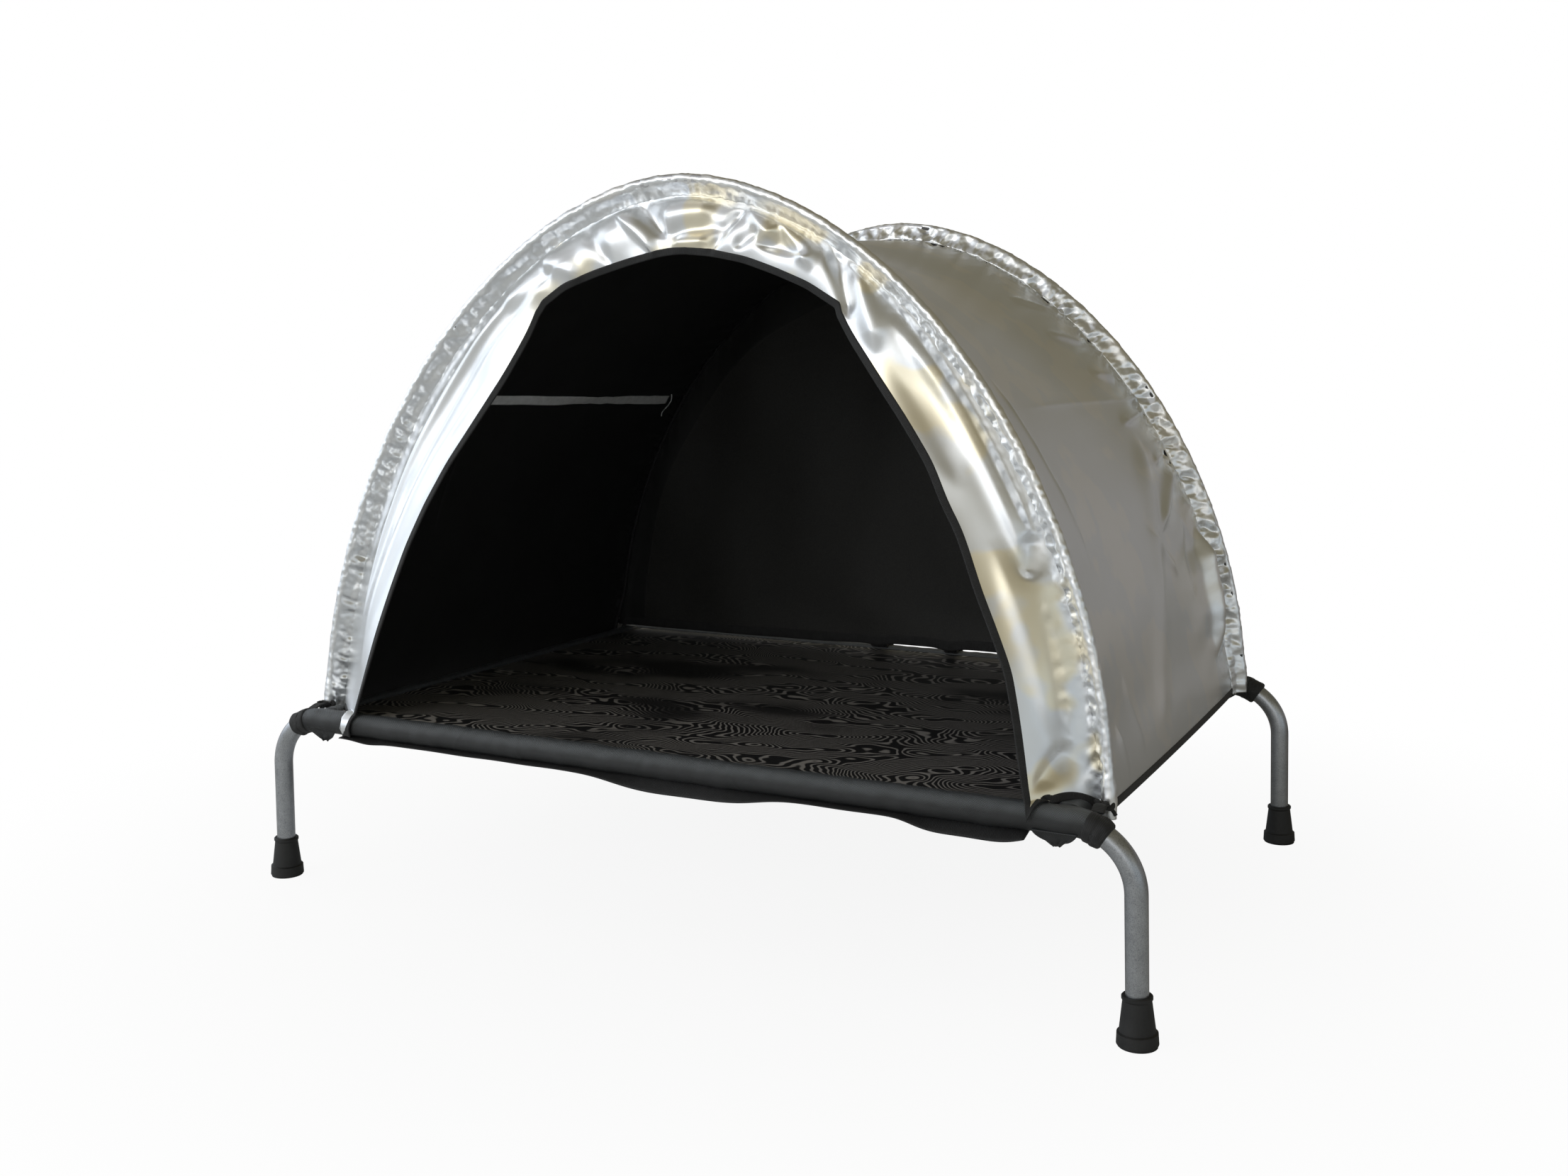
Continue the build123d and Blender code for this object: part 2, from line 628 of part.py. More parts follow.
def make_rear_tie(x, width):
    """Hook-and-loop tie from the back wall's hem round the outside of the rear rail."""
    with BuildPart() as tie:
        with BuildSketch(Plane.YZ.offset(x)):
            with Locations((RAIL_Y, RAIL_Z)):
                Circle(TIE_R)
                Circle(TIE_BORE_R, mode=Mode.SUBTRACT)
            with Locations((RAIL_Y - 25, RAIL_Z)):
                Rectangle(50, 50, mode=Mode.SUBTRACT)
            with Locations((RAIL_Y - 3.5, SLING_TOP + 0.9)):
                Rectangle(*TIE_END)
        extrude(amount=width)
    return tie.part


# ---------------------------------------------------------------- write

os.makedirs("parts", exist_ok=True)
CORNERS = [(-1, "left", -1, "front"), (1, "right", -1, "front"), (-1, "left", 1, "rear"), (1, "right", 1, "rear")]

save(make_rail(-1), "front_rail")
save(make_rail(1), "rear_rail")
save(make_side_rail(-1), "left_side_rail")
save(make_side_rail(1), "right_side_rail")
for sx, side, sy, end in CORNERS:
    save(make_leg(sx, sy), f"{end}_{side}_leg")
    save(make_socket(sx, sy), f"{end}_{side}_socket")
    save(make_foot(sx, sy), f"{end}_{side}_foot")
    save(make_corner_loop(FRONT if sy < 0 else REAR, sx, sy), f"{end}_{side}_corner_loop")
for name, x, y in button_places():
    save(make_button(x, y), name)
save(make_springs(), "button_springs")
save(make_washers(), "foot_washers")
for hoop in (FRONT, REAR):
    save(make_rod(hoop, -1), f"{hoop['name']}_hoop_rod_left")
    save(make_rod(hoop, 1), f"{hoop['name']}_hoop_rod_right")
    save(make_ferrule(hoop), f"{hoop['name']}_hoop_ferrule")
    save(make_tips(hoop), f"{hoop['name']}_hoop_tips")
    save(make_sleeve(hoop), f"{hoop['name']}_hoop_sleeve")
save(make_side_hem(-1), "left_wall_hem")
save(make_side_hem(1), "right_wall_hem")
for name, (x, width) in TIE_PLACES.items():
    save(make_rear_tie(x, width), name)
for name, piece in [
    ("mesh_bed", mesh_bed),
    ("sleeve_bindings", sleeve_bindings),
    ("front_strap", front_strap),
    ("front_panel", front_panel),
    ("opening_binding", opening_binding),
    ("back_wall", back_wall),
    ("back_wall_hem", back_wall_hem),
    ("canopy", canopy),
    ("wall_tape", wall_tape),
]:
    save(piece.part, name)
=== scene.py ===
"""Looks of a raised pet bed with a silver two-hoop tent cover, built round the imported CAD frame.

Metres, in the frame's axes: +Z up, the doorway faces -Y.
"""
import json
import math

import bmesh
import bpy
import numpy as np
from mathutils import Matrix, Vector
from numpy.random import default_rng

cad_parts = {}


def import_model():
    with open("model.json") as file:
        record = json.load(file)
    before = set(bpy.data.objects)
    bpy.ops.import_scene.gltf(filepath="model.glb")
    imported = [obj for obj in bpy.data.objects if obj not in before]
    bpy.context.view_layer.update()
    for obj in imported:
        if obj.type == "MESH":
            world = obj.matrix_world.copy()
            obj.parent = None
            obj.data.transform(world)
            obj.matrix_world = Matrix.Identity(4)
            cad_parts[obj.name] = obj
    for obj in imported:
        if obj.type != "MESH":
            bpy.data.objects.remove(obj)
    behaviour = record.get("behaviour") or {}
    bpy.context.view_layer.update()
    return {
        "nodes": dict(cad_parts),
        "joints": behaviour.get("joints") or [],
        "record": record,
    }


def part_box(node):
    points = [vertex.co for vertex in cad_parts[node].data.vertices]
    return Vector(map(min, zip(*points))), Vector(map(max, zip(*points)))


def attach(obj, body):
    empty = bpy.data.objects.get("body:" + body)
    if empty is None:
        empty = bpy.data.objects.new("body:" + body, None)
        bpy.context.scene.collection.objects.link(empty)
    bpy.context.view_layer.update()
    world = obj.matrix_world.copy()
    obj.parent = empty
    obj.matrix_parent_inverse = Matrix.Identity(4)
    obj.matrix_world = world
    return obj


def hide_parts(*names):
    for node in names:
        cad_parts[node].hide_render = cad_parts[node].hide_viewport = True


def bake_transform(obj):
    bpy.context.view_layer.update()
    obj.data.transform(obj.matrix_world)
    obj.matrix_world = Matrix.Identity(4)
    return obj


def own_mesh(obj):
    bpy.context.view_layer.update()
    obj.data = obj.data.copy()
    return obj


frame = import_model()
MM = 0.001

# ---- Sizes taken from the frame ----

RAIL_LOW, RAIL_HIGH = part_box("front_rail")
REAR_LOW, REAR_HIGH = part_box("rear_rail")
SIDE_LOW, SIDE_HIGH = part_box("right_side_rail")
RAIL_Z = (RAIL_LOW.z + RAIL_HIGH.z) / 2
RAIL_Y = (REAR_LOW.y + REAR_HIGH.y) / 2
SIDE_X = (SIDE_LOW.x + SIDE_HIGH.x) / 2
BED_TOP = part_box("mesh_bed")[1].z
HINGE = {joint["child"]: Vector(joint["pos_m"]) for joint in frame["joints"] if joint["type"] == "hinge"}
HINGE_Z = HINGE["front_hoop"].z
FRONT_Y = HINGE["front_hoop"].y
REAR_Y = HINGE["rear_hoop"].y

# Hoops: foot position, lean in degrees, half span, height and exponent of the superellipse of the rod.
ARCH_BASE_Z = 200 * MM
HOOPS = {
    "front": dict(y=FRONT_Y, lean=3.3, a=496 * MM, h=625 * MM, n=1.83),
    "rear": dict(y=REAR_Y, lean=-0.8, a=488 * MM, h=615 * MM, n=1.84),
}
BEND_R = 63.3 * MM
BEND_START_X = 472.2 * MM
SLEEVE_R = 13.6 * MM

# Each sleeve is a band of cloth round the rod; its seam is pulled in, and towards the other hoop.
BAND = 23 * MM
BAND_TURN = 41
FOOT_TURN = 70
FOOT_TAPER = 90 * MM
PULL = {"front": -1, "rear": 1}
SEAM_LAP = {"front": 4 * MM, "rear": 1 * MM}  # how far the cover reaches into a sleeve's band
SEWN = (1 * MM, 9 * MM)  # the cover lies flat this close to a seam, and is free this far from it
ROD_CLOTH_R = 5.2 * MM
TIP_CLOTH_R = 7.4 * MM
CLOTH = 0.8 * MM  # thickness of the cover's cloth


# ---- Small maths ----

def smoothstep(x, low, high):
    t = np.clip((x - low) / (high - low), 0, 1)
    return t * t * (3 - 2 * t)


def waves(x, y, scale, count, rng):
    """Smooth random field: a sum of plane waves of about the given wavelength, roughly -1 to 1."""
    total = np.zeros(np.broadcast(x, y).shape)
    for _ in range(count):
        angle = rng.uniform(0, 2 * math.pi)
        length = scale * rng.uniform(0.6, 1.6)
        phase = rng.uniform(0, 2 * math.pi)
        total = total + np.sin((x * math.cos(angle) + y * math.sin(angle)) * 2 * math.pi / length + phase)
    return total / math.sqrt(count)


def crumple(x, y, scale, count, rng, slant=(25, 70)):
    """Sharp-edged facets, like crushed foil: triangle waves that cross at a range of slants to x."""
    total = np.zeros(np.broadcast(x, y).shape)
    for _ in range(count):
        angle = math.radians(rng.uniform(*slant)) * rng.choice((-1, 1))
        length = scale * rng.uniform(0.6, 1.7)
        bend = 0.22 * np.sin(2 * math.pi * (x * rng.uniform(0.2, 0.5) + y * rng.uniform(0.2, 0.6)) / scale)
        turns = (x * math.cos(angle) + y * math.sin(angle)) / length + rng.uniform(0, 1) + bend
        total = total + (4 * np.abs(turns % 1 - 0.5) - 1) * length / scale
    return total / math.sqrt(count)


def fold(x, y, start, end, width, sharp=0.5):
    """One long fold between two places: a soft ridge, steeper on one side, fading at both ends."""
    (x0, y0), (x1, y1) = start, end
    length = math.hypot(x1 - x0, y1 - y0)
    along = ((x - x0) * (x1 - x0) + (y - y0) * (y1 - y0)) / length ** 2
    off = ((x - x0) * (y1 - y0) - (y - y0) * (x1 - x0)) / length
    width = width * (0.55 + 0.45 * np.sin(math.pi * np.clip(along, 0, 1)))
    side = np.where(off > 0, off / width, off / (width * sharp))
    return np.exp(-side ** 2) * smoothstep(along, -0.1, 0.25) * (1 - smoothstep(along, 0.8, 1.1))


class Arch:
    """One hoop's rod line, walked by length from the left foot (s=0) over the top to the right (s=1)."""

    def __init__(self, y, lean, a, h, n, pull, lap, base=ARCH_BASE_Z):
        self.y, self.lean, self.hinge, self.pull, self.lap = y, math.radians(lean), HINGE_Z, pull, lap
        t = np.linspace(0, math.pi, 4001)
        c, s = np.cos(t), np.sin(t)
        u = -a * np.sign(c) * np.abs(c) ** (2 / n)
        v = base + h * np.clip(s, 0, 1) ** (2 / n)
        step = np.hypot(np.diff(u), np.diff(v))
        walked = np.concatenate([[0], np.cumsum(step)])
        self.length = walked[-1]
        self.share, self.u, self.v = walked / self.length, u, v
        du, dv = np.gradient(u, walked), np.gradient(v, walked)
        size = np.hypot(du, dv)
        self.nu, self.nv = -dv / size, du / size

    def at(self, s):
        """Points of the rod at shares of its length."""
        x = np.interp(s, self.share, self.u)
        up = np.interp(s, self.share, self.v) - self.hinge
        y = self.y + up * math.sin(self.lean)
        z = self.hinge + up * math.cos(self.lean)
        return np.stack([x, y, z], -1)

    def outward(self, s):
        """Unit directions away from the hoop's middle, in its plane."""
        u, v = np.interp(s, self.share, self.nu), np.interp(s, self.share, self.nv)
        return np.stack([u, v * math.sin(self.lean), v * math.cos(self.lean)], -1)

    def from_foot(self, s):
        """Length along the rod from the nearer foot."""
        return np.minimum(s, 1 - np.asarray(s)) * self.length

    def band(self, s):
        """Unit directions of the sleeve's band: from the rod to the seam, and across it to the front."""
        settled = smoothstep(self.from_foot(s), 0, FOOT_TAPER)
        turn = np.radians(FOOT_TURN + (BAND_TURN - FOOT_TURN) * settled)
        inward = -self.outward(s)
        front = np.array([0, -math.cos(self.lean), math.sin(self.lean)])
        c, w = np.cos(turn)[..., None], self.pull * np.sin(turn)[..., None]
        return inward * c + front * w, front * c - inward * w

    def seam(self, s, out=0.0):
        """Edge of the cover inside the sleeve's band, or a distance to the front of it."""
        along, across = self.band(s)
        return self.at(s) + along * (BAND - self.lap) + across * np.asarray(out)[..., None]


ARCH = {name: Arch(pull=PULL[name], lap=SEAM_LAP[name], **values) for name, values in HOOPS.items()}


def resample(points, count):
    """Points evenly spaced by length along a polyline."""
    points = np.asarray(points, float)
    walked = np.concatenate([[0], np.cumsum(np.linalg.norm(np.diff(points, axis=0), axis=1))])
    where = np.linspace(0, walked[-1], count)
    return np.stack([np.interp(where, walked, points[:, i]) for i in range(points.shape[1])], -1)


def smooth_curve(points, count, rounds=40):
    """Evenly spaced points along a polyline, with its corners rounded off."""
    curve = resample(points, count)
    for _ in range(rounds):
        curve[1:-1] += 0.25 * (curve[:-2] + curve[2:] - 2 * curve[1:-1])
    return resample(curve, count)


def directions(path):
    """Unit tangents along a path."""
    tangent = np.gradient(path, axis=0)
    return tangent / np.linalg.norm(tangent, axis=1, keepdims=True)


def grid_normals(grid):
    """Unit normals of a grid of points."""
    normal = np.cross(np.gradient(grid, axis=0), np.gradient(grid, axis=1))
    return normal / np.maximum(np.linalg.norm(normal, axis=-1, keepdims=True), 1e-12)


# ---- Mesh building ----

def add_mesh(name, points, faces, materials, face_material=None, uv=None):
    """Object from points and faces, smooth shaded, with UVs in metres of cloth."""
    mesh = bpy.data.meshes.new(name)
    mesh.from_pydata([tuple(p) for p in points], [], [tuple(f) for f in faces])
    for material in materials:
        mesh.materials.append(material)
    if face_material is not None:
        mesh.polygons.foreach_set("material_index", np.asarray(face_material, np.int32))
    mesh.polygons.foreach_set("use_smooth", np.ones(len(mesh.polygons), bool))
    if uv is not None:
        layer = mesh.uv_layers.new(name="cloth")
        corners = np.empty(len(mesh.loops), np.int32)
        mesh.loops.foreach_get("vertex_index", corners)
        layer.data.foreach_set("uv", np.asarray(uv, np.float32)[corners].ravel())
    shell = bmesh.new()
    shell.from_mesh(mesh)
    bmesh.ops.recalc_face_normals(shell, faces=shell.faces)
    shell.to_mesh(mesh)
    shell.free()
    obj = bpy.data.objects.new(name, mesh)
    bpy.context.collection.objects.link(obj)
    return obj


def grid_faces(rows, columns, offset=0, wrap=False, flip=False):
    """Quads of a grid; wrap closes it across its columns."""
    i, j = np.meshgrid(np.arange(rows - 1), np.arange(columns if wrap else columns - 1), indexing="ij")
    k = (j + 1) % columns
    quads = np.stack([i * columns + j, i * columns + k, (i + 1) * columns + k, (i + 1) * columns + j], -1)
    quads = quads.reshape(-1, 4) + offset
    return quads[:, ::-1] if flip else quads


def cloth_uv(grid):
    """Distances along the rows and columns of a grid, in metres of cloth."""
    rows = np.linalg.norm(np.diff(grid, axis=0), axis=-1).mean(1)
    columns = np.linalg.norm(np.diff(grid, axis=1), axis=-1).mean(0)
    u = np.concatenate([[0], np.cumsum(rows)])
    v = np.concatenate([[0], np.cumsum(columns)])
    return np.stack(np.broadcast_arrays(u[:, None], v[None, :]), -1)


def sheet(name, grid, thickness, outside, inside=None):
    """Closed thin sheet: the grid is its outer face, and its back is offset against the normals."""
    rows, columns = grid.shape[:2]
    back = grid - grid_normals(grid) * thickness
    front_faces = grid_faces(rows, columns, flip=True)
    back_faces = grid_faces(rows, columns, offset=rows * columns)
    front_index = np.arange(rows * columns).reshape(rows, columns)
    sides = front_index[0, :-1], front_index[:-1, -1], front_index[-1, :0:-1], front_index[:0:-1, 0]
    rim = np.concatenate(sides)
    after = np.roll(rim, -1)
    rim_faces = np.stack([rim, after, after + rows * columns, rim + rows * columns], -1)
    faces = np.concatenate([front_faces, back_faces, rim_faces])
    count = len(front_faces)
    indices = np.concatenate([np.zeros(count), np.ones(count), np.zeros(len(rim_faces))])
    uv = cloth_uv(grid).reshape(-1, 2)
    points = np.concatenate([grid.reshape(-1, 3), back.reshape(-1, 3)])
    return add_mesh(name, points, faces, [outside, inside or outside], indices, np.concatenate([uv, uv]))


def tube(name, rings, material):
    """Closed skin through rings of points, capped at both ends."""
    rows, columns = rings.shape[:2]
    faces = [tuple(f) for f in grid_faces(rows, columns, wrap=True)]
    centres = np.stack([rings[0].mean(0), rings[-1].mean(0)])
    first, last = rows * columns, rows * columns + 1
    for j in range(columns):
        k = (j + 1) % columns
        faces.append((first, k, j))
        faces.append((last, (rows - 1) * columns + j, (rows - 1) * columns + k))
    uv = cloth_uv(np.concatenate([rings, rings[:, :1]], 1))[:, :-1].reshape(-1, 2)
    points = np.concatenate([rings.reshape(-1, 3), centres])
    return add_mesh(name, points, faces, [material], None, np.concatenate([uv, uv[:1], uv[-1:]]))


def frames(path, up):
    """Side and normal directions along a path, with the normal as near to up as it can be."""
    tangent = directions(path)
    up = np.broadcast_to(np.asarray(up, float), path.shape)
    normal = up - (up * tangent).sum(1, keepdims=True) * tangent
    normal /= np.linalg.norm(normal, axis=1, keepdims=True)
    return np.cross(tangent, normal), normal


def section_rings(path, up, section):
    """Rings of one closed cross-section, given as (side, normal) pairs, along a path."""
    side, normal = frames(path, up)
    section = np.asarray(section, float)
    if section.ndim == 2:
        section = np.broadcast_to(section, (len(path), *section.shape))
    return path[:, None] + side[:, None] * section[..., :1] + normal[:, None] * section[..., 1:]


def round_skin(name, path, radius, material, inward=None):
    """Closed skin round a path; radius is a grid by place on the path and turn, counted from inward."""
    turn = np.linspace(0, 2 * math.pi, radius.shape[1] + 1)[:-1]
    side, normal = frames(path, (0, 0, 1))
    if inward is not None:
        side = side * np.sign((side * np.asarray(inward, float)).sum(1))[:, None]
    rings = path[:, None] + side[:, None] * (radius * np.cos(turn))[..., None]
    rings = rings + normal[:, None] * (radius * np.sin(turn))[..., None]
    return tube(name, rings, material)


def tape_section(width, thickness, count=5):
    """Cross-section of a flat tape with rounded, slightly thicker edges."""
    top = []
    for x in np.linspace(-1, 1, 2 * count + 1):
        edge = math.sqrt(max(0, 1 - abs(x) ** 8))
        top.append((x * width / 2, thickness / 2 * (0.35 + 0.65 * edge)))
    return top + [(x, -y) for x, y in reversed(top)]


def round_section(radius, count=16):
    """Circle of points."""
    turn = np.arange(count) * 2 * math.pi / count
    return np.stack([radius * np.cos(turn), radius * np.sin(turn)], -1)


def tape(name, path, up, width, thickness, material):
    """Flat tape along a path, its face towards up."""
    return tube(name, section_rings(path, up, tape_section(width, thickness)), material)


def cord(name, path, radius, material, up=(0, 0, 1)):
    """Round cord along a path."""
    return tube(name, section_rings(path, up, round_section(radius, 10)), material)


# ---- Materials ----

class Nodes:
    """Short calls that build a node tree."""

    def __init__(self, tree):
        self.tree = tree
        self.coordinates = tree.nodes.new("ShaderNodeTexCoord")

    def set(self, node, **inputs):
        for key, value in inputs.items():
            node.inputs[key].default_value = value

    def link(self, source, target):
        self.tree.links.new(source, target)

    def node(self, kind, **settings):
        made = self.tree.nodes.new(kind)
        for key, value in settings.items():
            setattr(made, key, value)
        return made

    def math(self, operation, a, b=0.5):
        made = self.node("ShaderNodeMath", operation=operation)
        for socket, value in zip(made.inputs, (a, b)):
            if isinstance(value, (int, float)):
                socket.default_value = value
            else:
                self.link(value, socket)
        return made.outputs[0]

    def noise(self, scale, detail=3.0, roughness=0.55, space="Object", stretch=None):
        """Noise of a wavelength of about 1/scale metres."""
        made = self.node("ShaderNodeTexNoise")
        self.set(made, Scale=scale, Detail=detail, Roughness=roughness)
        source = self.coordinates.outputs[space]
        if stretch:
            mapping = self.node("ShaderNodeMapping")
            self.set(mapping, Scale=stretch)
            self.link(source, mapping.inputs["Vector"])
            source = mapping.outputs["Vector"]
        self.link(source, made.inputs["Vector"])
        return made.outputs["Fac"]

    def split(self, source):
        """The three parts of a vector."""
        made = self.node("ShaderNodeSeparateXYZ")
        self.link(source, made.inputs[0])
        return made.outputs

    def axes(self, space="Object"):
        """Coordinates of the shaded point along three axes."""
        return self.split(self.coordinates.outputs[space])

    def thread(self, axis, pitch):
        """Parallel threads across one direction of the cloth, one every pitch metres."""
        turns = self.math("MULTIPLY", self.axes("UV")[axis], 2 * math.pi / pitch)
        return self.math("SINE", turns, 0)

    def weave(self, pitch):
        """Height of a plain weave: warp and weft threads, one above the other."""
        return self.math("MULTIPLY", self.thread(0, pitch), self.thread(1, pitch))

    def ramp(self, value, low, high, color_low, color_high):
        """Colour between two colours as a value goes from low to high."""
        made = self.node("ShaderNodeValToRGB")
        made.color_ramp.elements[0].position, made.color_ramp.elements[1].position = low, high
        made.color_ramp.elements[0].color = (*color_low, 1)
        made.color_ramp.elements[1].color = (*color_high, 1)
        self.link(value, made.inputs["Fac"])
        return made.outputs["Color"]

    def mix(self, share, first, second):
        """Colour that goes from the first to the second as share goes from 0 to 1."""
        made = self.node("ShaderNodeMix", data_type="RGBA")
        self.link(share, made.inputs["Factor"])
        for place, value in zip((6, 7), (first, second)):
            if isinstance(value, tuple):
                made.inputs[place].default_value = (*value, 1)
            else:
                self.link(value, made.inputs[place])
        return made.outputs[2]

    def step(self, value, low, high):
        """0 below low, 1 above high, smooth between."""
        made = self.node("ShaderNodeMapRange", interpolation_type="SMOOTHSTEP")
        self.set(made, **{"From Min": low, "From Max": high})
        self.link(value, made.inputs["Value"])
        return made.outputs["Result"]


class Shader(Nodes):
    """A node material: a Principled surface and the nodes that feed it."""

    def __init__(self, name, color, roughness, metallic=0.0, **inputs):
        self.material = bpy.data.materials.new(name)
        self.material.use_nodes = True
        super().__init__(self.material.node_tree)
        self.surface = self.tree.nodes["Principled BSDF"]
        self.set(self.surface, **{"Base Color": (*color, 1), "Roughness": roughness, "Metallic": metallic})
        self.set(self.surface, **{key.replace("_", " "): value for key, value in inputs.items()})
        self.bumps = None

    def color(self, source):
        self.link(source, self.surface.inputs["Base Color"])

    def rough(self, value, low, high):
        made = self.node("ShaderNodeMapRange")
        self.set(made, **{"To Min": low, "To Max": high})
        self.link(value, made.inputs["Value"])
        self.link(made.outputs["Result"], self.surface.inputs["Roughness"])

    def bump(self, height, depth, strength=1.0):
        """Stack one more bump, its full height depth metres."""
        made = self.node("ShaderNodeBump")
        self.set(made, Strength=strength, Distance=depth)
        self.link(height, made.inputs["Height"])
        if self.bumps:
            self.link(self.bumps, made.inputs["Normal"])
        self.bumps = made.outputs["Normal"]
        self.link(self.bumps, self.surface.inputs["Normal"])


def silver_cloth(name="silver_cloth", warm=(0.84, 0.835, 0.82)):
    """Silver-coated polyester: a creased coating over a fine weave, with a painted warm reflection in
    patches on the right.
    """
    s = Shader(name, (0.78, 0.78, 0.79), 0.34, metallic=0.95)
    # Painted reflection: cream patches mixed into the colour on the right side, standing in for a warm
    # surround reflected in the coating.
    patches = s.step(s.noise(12, detail=2), 0.5, 0.57)
    patches = s.math("MULTIPLY", patches, s.step(s.axes()[0], -0.26, -0.1))
    s.color(s.mix(patches, (0.79, 0.805, 0.82), warm))
    s.rough(s.noise(38, detail=5), 0.29, 0.40)
    s.bump(s.noise(42, detail=2), 0.10 * MM)
    s.bump(s.noise(220, detail=2), 0.008 * MM)
    s.bump(s.weave(0.9 * MM), 0.006 * MM)
    return s.material


def lining_cloth():
    """Black coating on the inside of the cover."""
    s = Shader("lining_cloth", (0.0035, 0.0035, 0.004), 0.62, Sheen_Weight=0.02)
    s.color(s.ramp(s.noise(14, detail=3), 0.3, 0.75, (0.0062, 0.0064, 0.0064), (0.0105, 0.011, 0.0108)))
    s.bump(s.weave(1.0 * MM), 0.03 * MM)
    return s.material


# Edge of the grey panel in the back wall: half width, height and exponent of its arch.
GREY_PANEL = dict(a=435 * MM, h=528 * MM, n=1.96)


def back_lining_cloth():
    """Inside of the back wall: a dark warm grey panel with a visible grain, in a border of black lining."""
    s = Shader("back_lining_cloth", (0.013, 0.0125, 0.0115), 0.7)
    grain = s.noise(420, detail=4, roughness=0.7)
    grey = s.ramp(grain, 0.35, 0.7, (0.0115, 0.011, 0.0102), (0.0225, 0.0215, 0.02))
    x, _, z = s.axes()
    across = s.math("DIVIDE", s.math("ABSOLUTE", x), GREY_PANEL["a"])
    up = s.math("DIVIDE", s.math("SUBTRACT", z, ARCH_BASE_Z), GREY_PANEL["h"])
    reach = s.math("ADD", s.math("POWER", across, GREY_PANEL["n"]), s.math("POWER", up, GREY_PANEL["n"]))
    s.color(s.mix(s.step(reach, 0.995, 1.005), grey, (0.0055, 0.0057, 0.0057)))
    s.bump(s.step(reach, 0.99, 1.01), 0.8 * MM)
    s.bump(s.weave(1.1 * MM), 0.04 * MM)
    return s.material


def sling_mesh():
    """Coated black mesh, with painted highlights in fine contour rings: the moiré sheen that its threads
    make against each other.
    """
    s = Shader("sling_mesh", (0.004, 0.004, 0.0045), 0.5)
    bowls = s.noise(5.0, detail=0.8, stretch=(0.8, 1.5, 1.0))
    ripples = s.noise(16, detail=1.0, stretch=(1.0, 1.5, 1.0))
    height = s.math("ADD", bowls, s.math("MULTIPLY", ripples, 0.12))
    # Painted highlight: the moiré rings are lighter lines mixed into the colour, strongest in patches.
    rings = s.step(s.math("SINE", s.math("MULTIPLY", height, 420.0), 0), 0.1, 0.85)
    patches = s.step(s.noise(4.6, detail=2, stretch=(0.8, 1.3, 1.0)), 0.33, 0.5)
    glow = s.math("MULTIPLY", rings, s.math("ADD", s.math("MULTIPLY", patches, 0.9), 0.1))
    s.color(s.mix(glow, (0.0105, 0.0106, 0.011), (0.3, 0.285, 0.267)))
    s.bump(s.weave(1.6 * MM), 0.12 * MM)
    return s.material


def sleeve_mesh():
    """The same mesh drawn round the rails, with a painted highlight on the threads on top."""
    s = Shader("sleeve_mesh", (0.012, 0.012, 0.013), 0.4)
    threads = s.weave(1.7 * MM)
    black = s.ramp(threads, -0.6, 0.8, (0.005, 0.0055, 0.006), (0.022, 0.024, 0.026))
    painted_highlight = s.ramp(threads, -0.6, 0.8, (0.03, 0.033, 0.036), (0.22, 0.24, 0.255))
    # Painted highlight: parts that face up take the light copy of the colour, the rest keep the black one.
    facing = s.split(s.node("ShaderNodeNewGeometry").outputs["Normal"])[2]
    facing = s.math("ADD", facing, s.math("MULTIPLY", s.noise(30, detail=2), 0.3))
    s.color(s.mix(s.step(facing, 0.25, 1.0), black, painted_highlight))
    s.rough(s.noise(60, detail=4), 0.35, 0.55)
    s.bump(threads, 0.16 * MM)
    s.bump(s.noise(45, detail=3), 0.3 * MM)
    return s.material


def black_tape():
    """Black woven binding tape with ribs across it."""
    s = Shader("black_tape", (0.008, 0.008, 0.009), 0.66, Sheen_Weight=0.04)
    ribs = s.thread(0, 1.5 * MM)
    s.color(s.ramp(s.noise(90, detail=4), 0.3, 0.7, (0.0055, 0.0055, 0.006), (0.0125, 0.0125, 0.013)))
    s.bump(ribs, 0.12 * MM)
    s.bump(s.weave(0.8 * MM), 0.05 * MM)
    return s.material


def grey_tape():
    """Grey woven tape."""
    s = Shader("grey_tape", (0.75, 0.75, 0.74), 0.6)
    s.color(s.ramp(s.noise(120, detail=4), 0.3, 0.7, (0.68, 0.68, 0.67), (0.82, 0.82, 0.81)))
    s.bump(s.thread(0, 1.2 * MM), 0.1 * MM)
    return s.material


def tube_paint():
    """Silver-grey metallic powder coat with a fine hammered grain and a few darker marks."""
    s = Shader("tube_paint", (0.3, 0.31, 0.33), 0.36, metallic=0.85)
    grain = s.noise(900, detail=3, roughness=0.7)
    marks = s.noise(46, detail=6, roughness=0.7)
    mixed = s.math("ADD", s.math("MULTIPLY", grain, 0.6), s.math("MULTIPLY", marks, 0.4))
    s.color(s.ramp(mixed, 0.32, 0.68, (0.23, 0.24, 0.255), (0.52, 0.535, 0.56)))
    s.rough(grain, 0.22, 0.38)
    s.bump(grain, 0.08 * MM)
    s.bump(s.noise(140, detail=2), 0.08 * MM)
    return s.material


def foot_rubber():
    """Black moulded rubber, dusty towards matte."""
    s = Shader("foot_rubber", (0.006, 0.006, 0.006), 0.6)
    dust = s.noise(55, detail=6, roughness=0.65)
    s.color(s.ramp(dust, 0.35, 0.8, (0.004, 0.004, 0.004), (0.02, 0.02, 0.02)))
    s.rough(dust, 0.45, 0.8)
    s.bump(s.noise(500, detail=2), 0.08 * MM)
    return s.material


def metal(name, color, roughness, streaks):
    """Bare metal with fine drawn streaks."""
    s = Shader(name, color, roughness, metallic=1.0)
    grain = s.noise(300, detail=4, stretch=(1.0, 1.0, streaks))
    s.rough(grain, roughness - 0.08, roughness + 0.12)
    s.bump(grain, 0.03 * MM)
    return s.material


